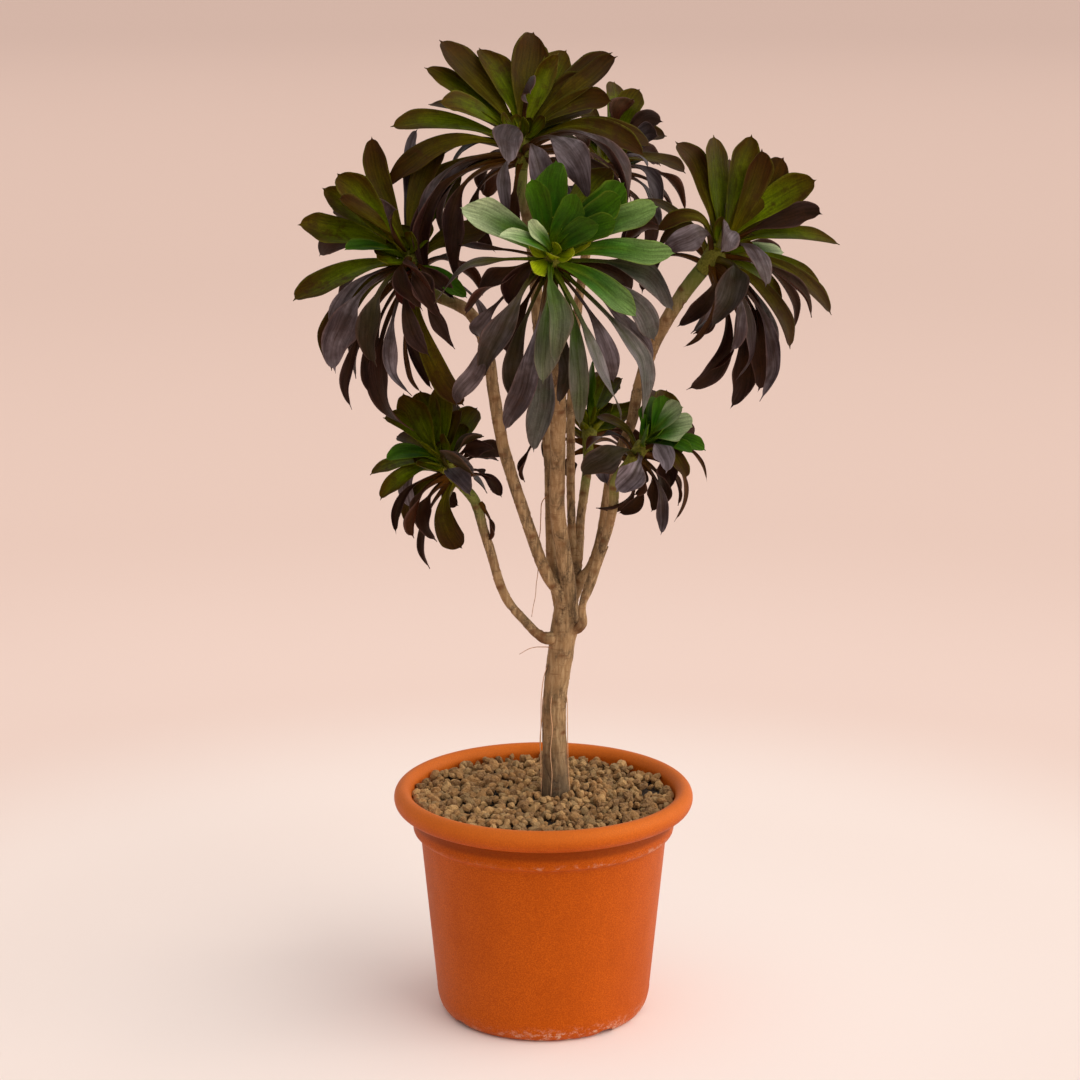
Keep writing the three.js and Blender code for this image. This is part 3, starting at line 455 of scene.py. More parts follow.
def smooth_line(points, spacing):
    """Points about spacing apart on the centripetal Catmull-Rom line through the given points.

    Each span is the cubic with Hermite tangents worked out from square-root knot distances.
    Returns the points and their place along the line's parameter, from 0 to 1.
    """
    p = np.asarray(points, float)
    p = np.vstack([2 * p[0] - p[1], p, 2 * p[-1] - p[-2]])
    steps = np.sqrt(np.linalg.norm(np.diff(p, axis=0), axis=1))
    fine = np.linspace(0, 1, 60, endpoint=False)[:, None]
    spans = []
    for i in range(1, len(p) - 2):
        before, here, after = steps[i - 1], steps[i], steps[i + 1]
        leave = ((p[i] - p[i - 1]) / before - (p[i + 1] - p[i - 1]) / (before + here)
                 + (p[i + 1] - p[i]) / here) * here
        arrive = ((p[i + 1] - p[i]) / here - (p[i + 2] - p[i]) / (here + after)
                  + (p[i + 2] - p[i + 1]) / after) * here
        cube = 2 * p[i] - 2 * p[i + 1] + leave + arrive
        square = -3 * p[i] + 3 * p[i + 1] - 2 * leave - arrive
        spans.append(cube * fine ** 3 + square * fine ** 2 + leave * fine + p[i])
    line = np.vstack([*spans, p[-2]])
    travelled = way_along(line)
    count = max(4, int(round(travelled[-1] / spacing)))
    wanted = np.linspace(0, travelled[-1], count + 1)
    even = np.stack([np.interp(wanted, travelled, line[:, k]) for k in range(3)], -1)
    share = np.interp(wanted, travelled, np.linspace(0, 1, len(line)))
    return even, share


def ring_frames(line):
    """Tangent, side and face directions along a line, with the side kept level with the Y axis."""
    tangent = unit(np.gradient(line, axis=0))
    side = unit(np.cross(tangent, (0, 1, 0)))
    return tangent, side, np.cross(side, tangent)


def directions_round(line, count):
    """Unit vectors out from each point of a line, evenly round it, and their angles as one row."""
    angle = np.linspace(0, 2 * math.pi, count, endpoint=False)[None, :]
    _, side, face = ring_frames(line)
    return side[:, None] * np.cos(angle)[..., None] + face[:, None] * np.sin(angle)[..., None], angle


def way_along(points):
    """How far along a polyline each of its points lies."""
    return np.concatenate([[0], np.cumsum(np.linalg.norm(np.diff(points, axis=0), axis=1))])


def scaled(lengths):
    """Millimetres as metres."""
    return tuple(length * MM for length in lengths)


def drawn(rng, limits):
    """A random value between two limits; equal limits give that value and draw nothing."""
    return rng.uniform(*limits) if limits[0] < limits[1] else limits[0]


class Shell:
    """Collects closed surfaces made of rings, with one value or colour per point, for one mesh."""

    def __init__(self):
        self.points, self.quads, self.tris, self.layers = [], [], [], {}
        self.count = 0

    def add(self, rings, **layers):
        """Adds a stack of rings: quads between them, and a fan to the mean point at each end."""
        rows, around = rings.shape[:2]
        index = np.arange(rows * around).reshape(rows, around) + self.count
        following = np.roll(index, -1, axis=1)
        first, last = self.count + rows * around, self.count + rows * around + 1
        self.points += [rings.reshape(-1, 3), rings[0].mean(0)[None], rings[-1].mean(0)[None]]
        self.quads.append(np.stack([index[:-1], following[:-1], following[1:], index[1:]], -1).reshape(-1, 4))
        self.tris.append(np.stack([following[0], index[0], np.full(around, first)], -1))
        self.tris.append(np.stack([index[-1], following[-1], np.full(around, last)], -1))
        for name, values in layers.items():
            values = np.broadcast_to(values, (rows, around) + np.shape(values)[2:])
            flat = values.reshape((rows * around,) + values.shape[2:])
            self.layers.setdefault(name, []).append(np.concatenate([flat, values[0, :1], values[-1, :1]]))
        self.count += rows * around + 2

    def mesh(self, name, soft=True):
        """The collected surfaces as one mesh in metres, smooth-shaded unless it's to look chipped."""
        points = np.concatenate(self.points) * MM
        quads, tris = np.concatenate(self.quads), np.concatenate(self.tris)
        mesh = bpy.data.meshes.new(name)
        mesh.vertices.add(len(points))
        mesh.vertices.foreach_set("co", points.ravel())
        mesh.loops.add(quads.size + tris.size)
        mesh.loops.foreach_set("vertex_index", np.concatenate([quads.ravel(), tris.ravel()]))
        mesh.polygons.add(len(quads) + len(tris))
        starts = np.concatenate([np.arange(len(quads)) * 4, quads.size + np.arange(len(tris)) * 3])
        mesh.polygons.foreach_set("loop_start", starts)
        mesh.update(calc_edges=True)
        mesh.polygons.foreach_set("use_smooth", np.full(len(mesh.polygons), soft))
        for layer, parts in self.layers.items():
            values = np.concatenate(parts)
            if values.ndim == 2:
                rgba = np.concatenate([values, np.ones((len(values), 1))], 1)
                mesh.attributes.new(layer, "FLOAT_COLOR", "POINT").data.foreach_set("color", rgba.ravel())
            else:
                mesh.attributes.new(layer, "FLOAT", "POINT").data.foreach_set("value", values)
        mesh.validate()
        return mesh


def piece(name, mesh, material, slot, *nodes):
    """Puts a mesh in the scene as a piece that rides on the one body and stands for the nodes."""
    made = bpy.data.objects.new(name, mesh)
    bpy.context.scene.collection.objects.link(made)
    made.data.materials.append(material)
    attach(made, BODY)
    if nodes:
        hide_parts(*nodes)
    return made


# ---- node helpers ----

def new_material(name):
    """A material with its Principled shader, returned with its node tree and that shader."""
    material = bpy.data.materials.new(name)
    material.use_nodes = True
    tree = material.node_tree
    return material, tree, tree.nodes["Principled BSDF"]


def node(tree, kind, values=None, **settings):
    """A node with its settings and plain input values filled in."""
    made = tree.nodes.new(kind)
    for key, value in settings.items():
        setattr(made, key, value)
    for key, value in (values or {}).items():
        made.inputs[key].default_value = value
    return made


def wire(tree, source, target):
    """A link from an output socket to an input socket."""
    tree.links.new(source, target)


def coordinates(tree, scale=(1, 1, 1)):
    """Object coordinates through a Mapping node."""
    place = node(tree, "ShaderNodeTexCoord")
    mapping = node(tree, "ShaderNodeMapping", {"Scale": scale})
    wire(tree, place.outputs["Object"], mapping.inputs["Vector"])
    return mapping.outputs["Vector"]


def noise(tree, vector, scale, detail=4.0, roughness=0.55):
    """Fractal noise from 0 to 1, with so many lumps to the metre."""
    made = node(tree, "ShaderNodeTexNoise", {"Scale": scale, "Detail": detail, "Roughness": roughness})
    wire(tree, vector, made.inputs["Vector"])
    return made.outputs["Fac"]


def remap(tree, value, low, high, to_low=0.0, to_high=1.0, kind="SMOOTHSTEP"):
    """A value's place between low and high, as one between to_low and to_high, and clamped to them."""
    made = node(tree, "ShaderNodeMapRange",
                {"From Min": low, "From Max": high, "To Min": to_low, "To Max": to_high},
                interpolation_type=kind)
    wire(tree, value, made.inputs["Value"])
    return made.outputs["Result"]


def maths(tree, operation, a, b=None):
    """One Math node; a and b are sockets or plain numbers."""
    made = node(tree, "ShaderNodeMath", operation=operation)
    for socket, value in zip(made.inputs, (a, b)):
        if isinstance(value, (int, float)):
            socket.default_value = value
        elif value is not None:
            wire(tree, value, socket)
    return made.outputs["Value"]


def times(tree, a, b):
    """The product of two values."""
    return maths(tree, "MULTIPLY", a, b)


def split(tree, vector):
    """The X, Y and Z outputs of a vector."""
    made = node(tree, "ShaderNodeSeparateXYZ")
    wire(tree, vector, made.inputs[0])
    return made.outputs


def away_from(tree, value, level):
    """How far a value is from a level, either way."""
    return maths(tree, "ABSOLUTE", maths(tree, "SUBTRACT", value, level))


def blend_colours(tree, share, a, b):
    """Colour a turned into b by share; each of a and b is a socket or a linear colour."""
    made = node(tree, "ShaderNodeMix", data_type="RGBA")
    for socket, value in zip((made.inputs[0], made.inputs[6], made.inputs[7]), (share, a, b)):
        if isinstance(value, (int, float)):
            socket.default_value = value
        elif isinstance(value, (tuple, list, np.ndarray)):
            socket.default_value = (*value, 1)
        else:
            wire(tree, value, socket)
    return made.outputs[2]


def layered(tree, base, *layers):
    """A linear colour or a socket, with a screen colour laid over it by each layer's share in turn."""
    for share, colour in layers:
        base = blend_colours(tree, share, base, linear(colour))
    return base


def read(tree, layer, output="Fac"):
    """A mesh's own value or colour layer."""
    made = node(tree, "ShaderNodeAttribute", attribute_name=layer)
    return made.outputs[output]


def surface(tree, shader, colour, roughness, specular=None):
    """Sets a shader's colour socket, and its plain roughness and specular level."""
    wire(tree, colour, shader.inputs["Base Color"])
    shader.inputs["Roughness"].default_value = roughness
    if specular is not None:
        shader.inputs["Specular IOR Level"].default_value = specular


def bump(tree, shader, height, strength, distance):
    """Relief of the given depth in metres from a height socket."""
    made = node(tree, "ShaderNodeBump", {"Strength": strength, "Distance": distance})
    wire(tree, height, made.inputs["Height"])
    wire(tree, made.outputs["Normal"], shader.inputs["Normal"])


# ---- materials ----

def leaf_material():
    """Waxy leaf: its tint with lengthwise streaks and soft blotches, brown mottling and a lilac bloom with
    painted sheen.
    """
    material, tree, shader = new_material("waxy_leaf")
    place = coordinates(tree)
    along = node(tree, "ShaderNodeMapping", {"Scale": (0.9, 0.06, 1)})
    wire(tree, read(tree, "place", "Vector"), along.inputs["Vector"])
    streaks = noise(tree, along.outputs["Vector"], 1.0, 4, 0.62)
    blotches = noise(tree, place, 60, 5, 0.6)
    fine = noise(tree, place, 1100, 3, 0.6)
    shade = times(tree, remap(tree, streaks, 0.33, 0.67, 0.66, 1.34, "LINEAR"),
                  remap(tree, blotches, 0.3, 0.72, 0.72, 1.26, "LINEAR"))
    speck = remap(tree, fine, 0.3, 0.7, 0.8, 1.2, "LINEAR")
    shaded = node(tree, "ShaderNodeVectorMath", operation="SCALE")
    wire(tree, read(tree, "tint", "Color"), shaded.inputs[0])
    wire(tree, times(tree, shade, speck), shaded.inputs["Scale"])
    patches = remap(tree, noise(tree, place, 26, 5, 0.6), 0.4, 0.66, 0.16, 1.0)
    waxy_sheen = times(tree, patches, remap(tree, streaks, 0.32, 0.68, 0.35, 1.15, "LINEAR"))
    # waxy bloom plus painted sheen: this layer's share is larger on faces turned to the light
    bloom = times(tree, read(tree, "bloom"), waxy_sheen)
    mottle = times(tree, remap(tree, noise(tree, place, 130, 5, 0.68), 0.47, 0.68), read(tree, "age"))
    colour = layered(tree, shaded.outputs["Vector"], (times(tree, mottle, 0.85), MOTTLE), (bloom, BLOOM_SHEEN_COLOUR))
    wire(tree, colour, shader.inputs["Base Color"])
    wire(tree, remap(tree, blotches, 0.3, 0.7, 0.34, 0.5, "LINEAR"), shader.inputs["Roughness"])
    wire(tree, remap(tree, bloom, 0.0, 1.0, 0.1, 0.5, "LINEAR"), shader.inputs["Specular IOR Level"])
    wire(tree, blend_colours(tree, bloom, (1, 0.8, 0.35), (1, 0.93, 1)), shader.inputs["Specular Tint"])
    relief = maths(tree, "ADD", times(tree, streaks, 1.2), times(tree, fine, 0.35))
    bump(tree, shader, maths(tree, "ADD", blotches, relief), 0.3, 0.0008)
    return material


def bark_material():
    """Pale tan bark: grey patches, upright fibres, thin dark cracks, brown scars and a green young end.

    The trunk darkens towards its foot, and the dry roots on it are straw-coloured.
    """
    material, tree, shader = new_material("bark")
    place = coordinates(tree)
    fibres = noise(tree, coordinates(tree, (1, 1, 0.14)), 480, 5, 0.68)
    bands = noise(tree, coordinates(tree, (0.5, 0.5, 3)), 260, 4, 0.6)
    patches = noise(tree, place, 60, 4, 0.6)
    flecks = noise(tree, place, 420, 4, 0.7)
    cracks = node(tree, "ShaderNodeTexVoronoi", {"Scale": 95.0, "Randomness": 1.0},
                  feature="DISTANCE_TO_EDGE")
    warp = blend_colours(tree, 0.012, coordinates(tree, (1, 1, 0.42)), flecks)
    wire(tree, warp, cracks.inputs["Vector"])
    crack = times(tree, remap(tree, cracks.outputs["Distance"], 0.0, 0.045, 1.0, 0.0),
                  remap(tree, patches, 0.44, 0.56))
    # darker towards the trunk's foot
    foot_darkening = remap(tree, split(tree, place)["Z"], *scaled(DARKER_FOOT), 0.55, 0.0)
    colour = layered(
        tree, linear((154, 118, 78)),
        (remap(tree, patches, 0.36, 0.66), (112, 88, 58)),
        (remap(tree, fibres, 0.4, 0.7), (184, 150, 108)),
        (remap(tree, bands, 0.56, 0.68, 0, 0.55), (112, 76, 44)),
        (remap(tree, flecks, 0.6, 0.72, 0, 0.6), (98, 64, 36)),
        (read(tree, "green"), (104, 124, 36)),
        (times(tree, crack, 0.75), (70, 46, 28)),
        (read(tree, "scar"), (112, 70, 36)),
        (foot_darkening, (84, 70, 56)),
        (read(tree, "straw"), (226, 176, 134)))
    surface(tree, shader, colour, 0.78, 0.3)
    relief = maths(tree, "ADD", fibres, times(tree, flecks, 0.6))
    bump(tree, shader, maths(tree, "SUBTRACT", relief, crack), 0.5, 0.0009)
    return material


def root_material():
    """Dry root, pale brown with darker spots."""
    material, tree, shader = new_material("dry_root")
    tone = noise(tree, coordinates(tree), 300, 3)
    colour = layered(tree, linear((196, 142, 98)), (remap(tree, tone, 0.35, 0.65), (150, 100, 64)))
    surface(tree, shader, colour, 0.8)
    bump(tree, shader, tone, 0.3, 0.0003)
    return material


def stone_material():
    """Porous pumice: each stone's own tint, lighter grain, dark pits and a dusty matt surface."""
    material, tree, shader = new_material("pumice")
    place = coordinates(tree)
    grain = noise(tree, place, 700, 5, 0.7)
    pits = noise(tree, place, 1500, 3, 0.7)
    colour = layered(
        tree, read(tree, "tint", "Color"),
        (remap(tree, grain, 0.3, 0.7, 0.0, 0.7), (188, 146, 94)),
        (remap(tree, pits, 0.56, 0.68, 0, 0.75), (56, 36, 20)))
    surface(tree, shader, colour, 0.92)
    bump(tree, shader, maths(tree, "ADD", grain, pits), 0.7, 0.0011)
    return material


def mix_material():
    """Dark crumbly potting mix."""
    material, tree, shader = new_material("potting_mix")
    crumbs = noise(tree, coordinates(tree), 420, 6, 0.75)
    colour = layered(tree, linear((28, 19, 14)), (remap(tree, crumbs, 0.35, 0.7), (74, 53, 36)))
    surface(tree, shader, colour, 0.95)
    bump(tree, shader, crumbs, 0.9, 0.003)
    return material


def pot_material():
    """Matt terracotta-orange plastic: fine speckle, faint stains, a painted highlight on the rim's top and a
    band of painted shade under the rim.

    Chalky scuffs lie on the foot and the ledge, more of them to the right; the chalky line on the ledge also
    serves as a painted highlight.
    """
    material, tree, shader = new_material("terracotta_plastic")
    place = coordinates(tree)
    speckle = noise(tree, place, 1300, 3, 0.7)
    stains = noise(tree, coordinates(tree, (1, 1, 0.5)), 22, 5, 0.65)
    scuffs = noise(tree, coordinates(tree, (1, 1, 1.4)), 170, 8, 0.8)
    at = split(tree, place)
    right = remap(tree, at["X"], -0.05, 0.02, 0.3, 1.0)
    low = times(tree, remap(tree, at["Z"], *scaled(FOOT_CHALK), 1.0, 0.0), right)
    # the ledge line is chalk and also a painted highlight where the ledge's rounded edge catches the light
    ledge = times(tree, remap(tree, away_from(tree, at["Z"], LEDGE_CHALK_AND_HIGHLIGHT * MM), 0.0, 0.003, 0.35, 0.0), right)
    chalk_and_ledge_highlight = times(tree, remap(tree, scuffs, 0.5, 0.6), maths(tree, "ADD", low, ledge))
    colour = layered(
        tree, linear((172, 68, 2)),
        (remap(tree, speckle, 0.36, 0.66), (204, 94, 12)),
        (remap(tree, stains, 0.4, 0.75, 0, 0.35), (152, 56, 2)),
        # painted highlight: the rim's top is coloured lighter where light from above falls on it
        (remap(tree, at["Z"], *scaled(RIM_PAINTED_HIGHLIGHT), 0, 0.45), (222, 118, 44)),
        # painted shade: the recess under the rim's overhang is coloured darker
        (remap(tree, away_from(tree, at["Z"], SHADED_BAND * MM), 0.002, 0.0055, 0.6, 0), (112, 38, 2)),
        (times(tree, chalk_and_ledge_highlight, 0.8), (226, 200, 176)))
    surface(tree, shader, colour, 0.5, 0.25)
    wire(tree, remap(tree, stains, 0.3, 0.7, 0.46, 0.6, "LINEAR"), shader.inputs["Roughness"])
    shader.inputs["Specular Tint"].default_value = (1, 0.66, 0.3, 1)
    bump(tree, shader, maths(tree, "ADD", speckle, times(tree, stains, 0.5)), 0.18, 0.0005)
    return material


# ---- stems ----

def stem(shell, path, radii, seed, rough, green_end=0.0, scars=True, around=STEM_AROUND,
         spacing=STEM_SPACING, collar=0.0, straw=0.0):
    """A bark-covered tube along a smooth line.

    Its radius follows the radii, with soft lumps, upright furrows of depth rough, and leaf scars that
    climb round it by the golden angle: each is a shallow dish with a raised lip. A collar swells it
    where it leaves the trunk, COLLAR_PLACE from its hidden end. Straw is how pale and dry it is.
    """
    line, share = smooth_line(path, spacing)
    radius = np.interp(share * (len(radii) - 1), np.arange(len(radii)), radii)[:, None]
    travelled = way_along(line)[:, None]
    out, angle = directions_round(line, around)
    lengthwise = np.stack([np.cos(angle) * 6 + 0 * travelled, np.sin(angle) * 6 + 0 * travelled,
                           travelled * 0.16 + 0 * angle], -1)
    furrows = lumps(lengthwise, 2.6, seed) + 0.5 * lumps(lengthwise, 1.3, seed + 1)
    swell = lumps(line[:, None] + out * 6, 21, seed + 2)
    scar = np.zeros((len(line), around))
    lip = np.zeros_like(scar)
    rng = np.random.default_rng(seed)
    total = travelled[-1, 0]
    for k in range(int(total / SCAR_SPACING) if scars else 0):
        height = (k + rng.uniform(0.2, 0.8)) * SCAR_SPACING
        turn = np.angle(np.exp(1j * (angle - k * GOLDEN_ANGLE - rng.uniform(0, 0.7))))
        far = ((travelled - height) / 1.3) ** 2 + (turn * radius / 2.5) ** 2
        scar = np.maximum(scar, np.exp(-far ** 2 * 0.5) * rng.uniform(0.5, 1.0))
        lip = np.maximum(lip, np.exp(-(far ** 0.5 - 1.35) ** 2 * 8))
    grown = radius * (1 + 0.035 * swell) + rough * 0.32 * furrows + 0.24 * lip - 0.3 * scar
    knob = np.exp(-((travelled - COLLAR_PLACE) / 3.4) ** 2)
    grown = grown * (1 + collar * knob * (0.6 + 0.4 * lumps(line[:, None] + out * 4, 5, seed + 4)))
    scar = np.maximum(scar, np.where(collar > 0, knob, 0) * np.clip(0.75 + 0.4 * furrows, 0, 1))
    rings = line[:, None] + out * grown[..., None]
    left = total - travelled
    green = green_end * smooth(*GREEN_END, left)
    shell.add(rings, green=np.broadcast_to(green, scar.shape), scar=scar, straw=np.full_like(scar, straw))


def branch_line(name):
    """A branch's points, carried on to the foot of its rosette."""
    crown, axis = crown_and_axis(name)
    return [*BRANCHES[name]["path"], crown - axis * (CROWN_FOOT + 12), crown - axis * (CROWN_FOOT + 0.3)]


def build_trunk(material):
    """The trunk with the fine dry roots that cling to its sides."""
    shell = Shell()
    stem(shell, TRUNK["path"], TRUNK["radii"], 11, rough=0.8, around=72, spacing=1.0)
    for seed, path in enumerate(CLINGING_ROOTS):
        stem(shell, path, CLINGING_RADII, 60 + seed, rough=0.05, scars=False, around=8, spacing=2.5,
             straw=1)
    piece("trunk_bark", shell.mesh("trunk_bark"), material, "bark", "trunk")


def build_branches(material):
    """Each branch as one bark skin, with its side twig where it has one."""
    for seed, name in enumerate(BRANCHES):
        shell = Shell()
        stem(shell, branch_line(name), BRANCHES[name]["radii"], 20 + 3 * seed, rough=0.35, green_end=0.75,
             collar=COLLAR_SWELL if name in SWOLLEN else 0)
        if "twig" in BRANCHES[name]:
            twig = BRANCHES[name]["twig"]
            stem(shell, twig["path"], twig["radii"], 12, rough=0.4, scars=False)
        piece(f"{name}_branch_bark", shell.mesh(f"{name}_branch_bark"), material, "bark", f"{name}_branch")


def build_roots(material):
    """Thin roots that taper to their free end, with a little wander."""
    for name, root in AERIAL_ROOTS.items():
        line, share = smooth_line(root["path"], 1.5)
        line = line + 0.35 * np.stack([lumps(line, 14, 5 + k) for k in range(3)], -1)
        radius = 0.55 * root["radius"] * (1 - 0.5 * share)[:, None, None]
        shell = Shell()
        shell.add(line[:, None] + directions_round(line, ROOT_AROUND)[0] * radius)
        piece(f"{name}_strand", shell.mesh(name), material, "aerial_root", name)


# ---- leaves ----

def crown_and_axis(name):
    """Where a rosette's leaves begin to spread, and the way its growing tip points."""
    rosette = ROSETTES[name]
    return np.array(rosette["crown"], float), unit(np.array(rosette["axis"], float))


def blade_outline(t, start, widest, swell, sharp):
    """Half width of a blade, from 0 to 1.

    From its start, the stalk widens as a sine to the power swell up to the widest place, and beyond
    it the sides close as (1 - s^1.6) to the power sharp, down to a fine point.
    """
    rise = np.clip((t - start) / (widest - start), 0, 1)
    stalk = 0.17 + 0.83 * np.sin(math.pi / 2 * rise) ** swell
    end = np.clip(1 - (np.clip(t - widest, 0, 1) / (0.975 - widest)) ** 1.6, 0, 1) ** sharp
    point = 0.09 * smooth(0.9, 0.96, t) * smooth(1.0, 0.97, t)
    clasp = 0.14 * smooth(0.1, 0.0, t)
    return stalk * end + point + clasp


def light_turn(line_direction, outward):
    """How far a blade turns about its length to face the light: a share of the way, up to a limit."""
    side = np.cross(line_direction, outward)
    return np.clip(LIGHT_PULL * math.atan2(LIGHT @ side, LIGHT @ outward), -LIGHT_LIMIT, LIGHT_LIMIT)


def leaf(shell, base, tip, axis, bow, width, twist, finish, seed):
    """One leaf as a closed skin.

    Its middle line is the quadratic curve from base to tip that bows towards the axis, with a
    swerve and a hooked tip. Across it, the blade is a channel whose edges rise with the square of
    the distance from the middle, thick at the midrib and thin at the margin.
    """
    rng = np.random.default_rng(seed)
    base, tip, axis = (np.asarray(v, float) for v in (base, tip, axis))
    chord = tip - base
    length = np.linalg.norm(chord)
    outward = unit(axis - chord * (axis @ chord) / length ** 2)
    across = np.cross(chord / length, outward)
    habit = OLD_LEAF if finish in OLD else YOUNG_LEAF
    t = (1 - (1 - np.linspace(0, 1, LEAF_ROWS)) ** 1.5)[:, None]
    control = base + chord / 2 + outward * 2 * bow
    line = base * (1 - t) ** 2 + control * 2 * t * (1 - t) + tip * t ** 2
    swerve = rng.uniform(-0.04, 0.04) * np.sin(math.pi * t) ** 2
    swerve = swerve + rng.uniform(-0.02, 0.02) * np.sin(2 * math.pi * t)
    line = line + across * swerve * length
    hook = rng.uniform(0.2, 1.0) ** 1.5 * habit["hook"] * length
    aside = across * hook * rng.uniform(-0.6, 0.6) * smooth(0.7, 1, t)
    line = line - outward * hook * smooth(0.78, 1.06, t) ** 2 + aside
    tangent = unit(np.gradient(line, axis=0))
    face = unit(outward - tangent * (tangent @ outward)[:, None])
    turn = np.radians(twist) * t + light_turn(chord / length, outward) * smooth(0.0, 0.55, t)
    turn = turn + rng.uniform(-0.25, 0.25) * t + drawn(rng, habit["twirl"]) * smooth(0.4, 1.0, t)
    side = np.cross(tangent, face)
    face, side = face * np.cos(turn) + side * np.sin(turn), side * np.cos(turn) - face * np.sin(turn)
    angle = np.linspace(0, 2 * math.pi, LEAF_AROUND, endpoint=False)[None, :]
    v = np.cos(angle)
    above = np.sin(angle)
    fullness, *shape = (drawn(rng, habit[key]) for key in ("fullness", "start", "widest", "swell", "sharp"))
    outline = fullness * blade_outline(t, *shape)
    half = np.maximum(outline * width / 2, 0.02)
    stalk = min(LEAF_ROOT_WIDTH, width) / 2
    half = np.maximum(half, stalk * smooth(0.3, 0.1, t))
    cup = drawn(rng, habit["cup"]) + 0.25 * smooth(0.5, 0.1, t)
    channel = cup * half * (v ** 2 - 0.35)
    wave = drawn(rng, habit["ripple"]) * half * np.abs(v) ** 3
    wave = wave * np.sin(t * rng.uniform(9, 17) + np.sign(v) + seed)
    skew = rng.uniform(-0.5, 0.5) * (width / 2) * smooth(0.72, 1.0, t) ** 1.5
    thick = (0.3 + 0.8 * smooth(0.75, 0.05, t)) * np.minimum(1, width / 9)
    rib = np.exp(-(v / 0.2) ** 2)
    skin = np.where(above > 0, 1 - 0.35 * rib * smooth(0.9, 0.3, t), 1 + 0.9 * rib * smooth(1.0, 0.2, t))
    rise = channel + wave + np.sign(above) * np.abs(above) ** 0.8 * thick * skin
    rings = line[:, None] + side[:, None] * (half * v + skew)[..., None] + face[:, None] * rise[..., None]
    upper = smooth(-0.25, 0.25, above)
    place = np.stack([half * v + 3 * upper, t * length + 0 * v, seed * 7.3 % 50 + 0 * t * v], -1)
    shell.add(rings, place=place, **leaf_colours(finish, t, v, upper, rib, face, rng))


def leaf_colours(finish, t, v, upper, rib, face, rng):
    """A leaf's tint, waxy bloom with painted sheen and brown mottling, by the way along it, the way across
    and its side.

    The bloom is laid on as painted sheen, fullest where the face is turned to the light, and the mottling
    grows towards the tip.
    """
    stalk, blade, end, under = (linear(c) for c in LEAF_FINISHES[finish][:4])
    bloom = LEAF_FINISHES[finish][4]
    blade, under = blade * rng.uniform(0.72, 1.3), under * rng.uniform(0.8, 1.2)
    tt, top = t[..., None], upper[..., None]
    tint = stalk + (blade * top + under * (1 - top) - stalk) * smooth(0.08, 0.5, tt)
    reach = tt + rng.uniform(0.15, 0.4) * np.abs(v)[..., None] ** 2
    tint = tint + (end - tint) * smooth(0.5, 1.05, reach) * (0.35 + 0.65 * top)
    if finish in VEINED:
        vein = np.maximum(0.55 * rib * smooth(0.85, 0.2, t), smooth(0.86, 1.0, np.abs(v)) * 0.5)[..., None]
        tint = tint + (linear(VEIN) - tint) * vein * rng.uniform(0.15, 0.6)
    else:
        # pale margin: partly the leaf's own edge colour, partly a painted rim highlight
        margin = smooth(0.9, 1.0, np.abs(v)) * smooth(0.2, 0.6, t)
        tint = tint + (linear(MARGIN_AND_RIM_HIGHLIGHT) - tint) * (0.4 * margin)[..., None]
    # painted sheen: the bloom's share grows on faces turned to the light
    lit = smooth(-0.5, 0.7, face @ LIGHT)[:, None]
    waxy_sheen = bloom * upper * smooth(0.1, 0.6, t) * (1 - 0.45 * rib) * (0.12 + 0.88 * lit ** 2)
    waxy_sheen = waxy_sheen * rng.uniform(0.6, 1.15)
    age = MOTTLING.get(finish, OTHER_MOTTLING) * smooth(0.15, 0.7, reach[..., 0]) * (0.4 + 0.6 * upper)
    age = age * rng.uniform(0.5, 1.2)
    return {"tint": tint, "bloom": np.clip(waxy_sheen, 0, 1), "age": np.clip(age, 0, 1)}


def heart_leaves(axis, finish):
    """Small upright leaves in a golden-angle spiral about the growing tip, leaning out one by one."""
    across = unit(np.array([1, 0, 0]) - axis * axis[0])
    other = np.cross(axis, across)
    leaves = []
    for i in range(HEART_LEAVES):
        lean = math.radians(14 + 5.5 * i)
        reach = HEART_REACH * (0.62 + 0.06 * i)
        turn = i * GOLDEN_ANGLE
        out = across * math.cos(turn) + other * math.sin(turn)
        tip = (out * math.sin(lean) + axis * math.cos(lean)) * reach
        leaves.append((*tip, -1.5, HEART_WIDTH + 0.6 * i, 0, finish))
    return leaves


def leaves_behind(count, reach):
    """Leaves on the side away from the front, from rising ones to old ones that hang."""
    leaves = []
    for i in range(count):
        age = (i + 0.5) / count
        heading = math.radians(75 * math.sin(2.4 * i + 0.6))
        rise = math.radians(58 - 112 * age)
        length = reach * (0.86 + 0.2 * math.sin(1.7 * i))
        flat = math.cos(rise) * length
        tip = (math.sin(heading) * flat, math.cos(heading) * flat, math.sin(rise) * length)
        finish = AGEING[int(age * len(AGEING))]
        leaves.append((*tip, 2 + 14 * age, 14 + 5 * math.sin(2.1 * i + 1), 0, finish))
    return leaves


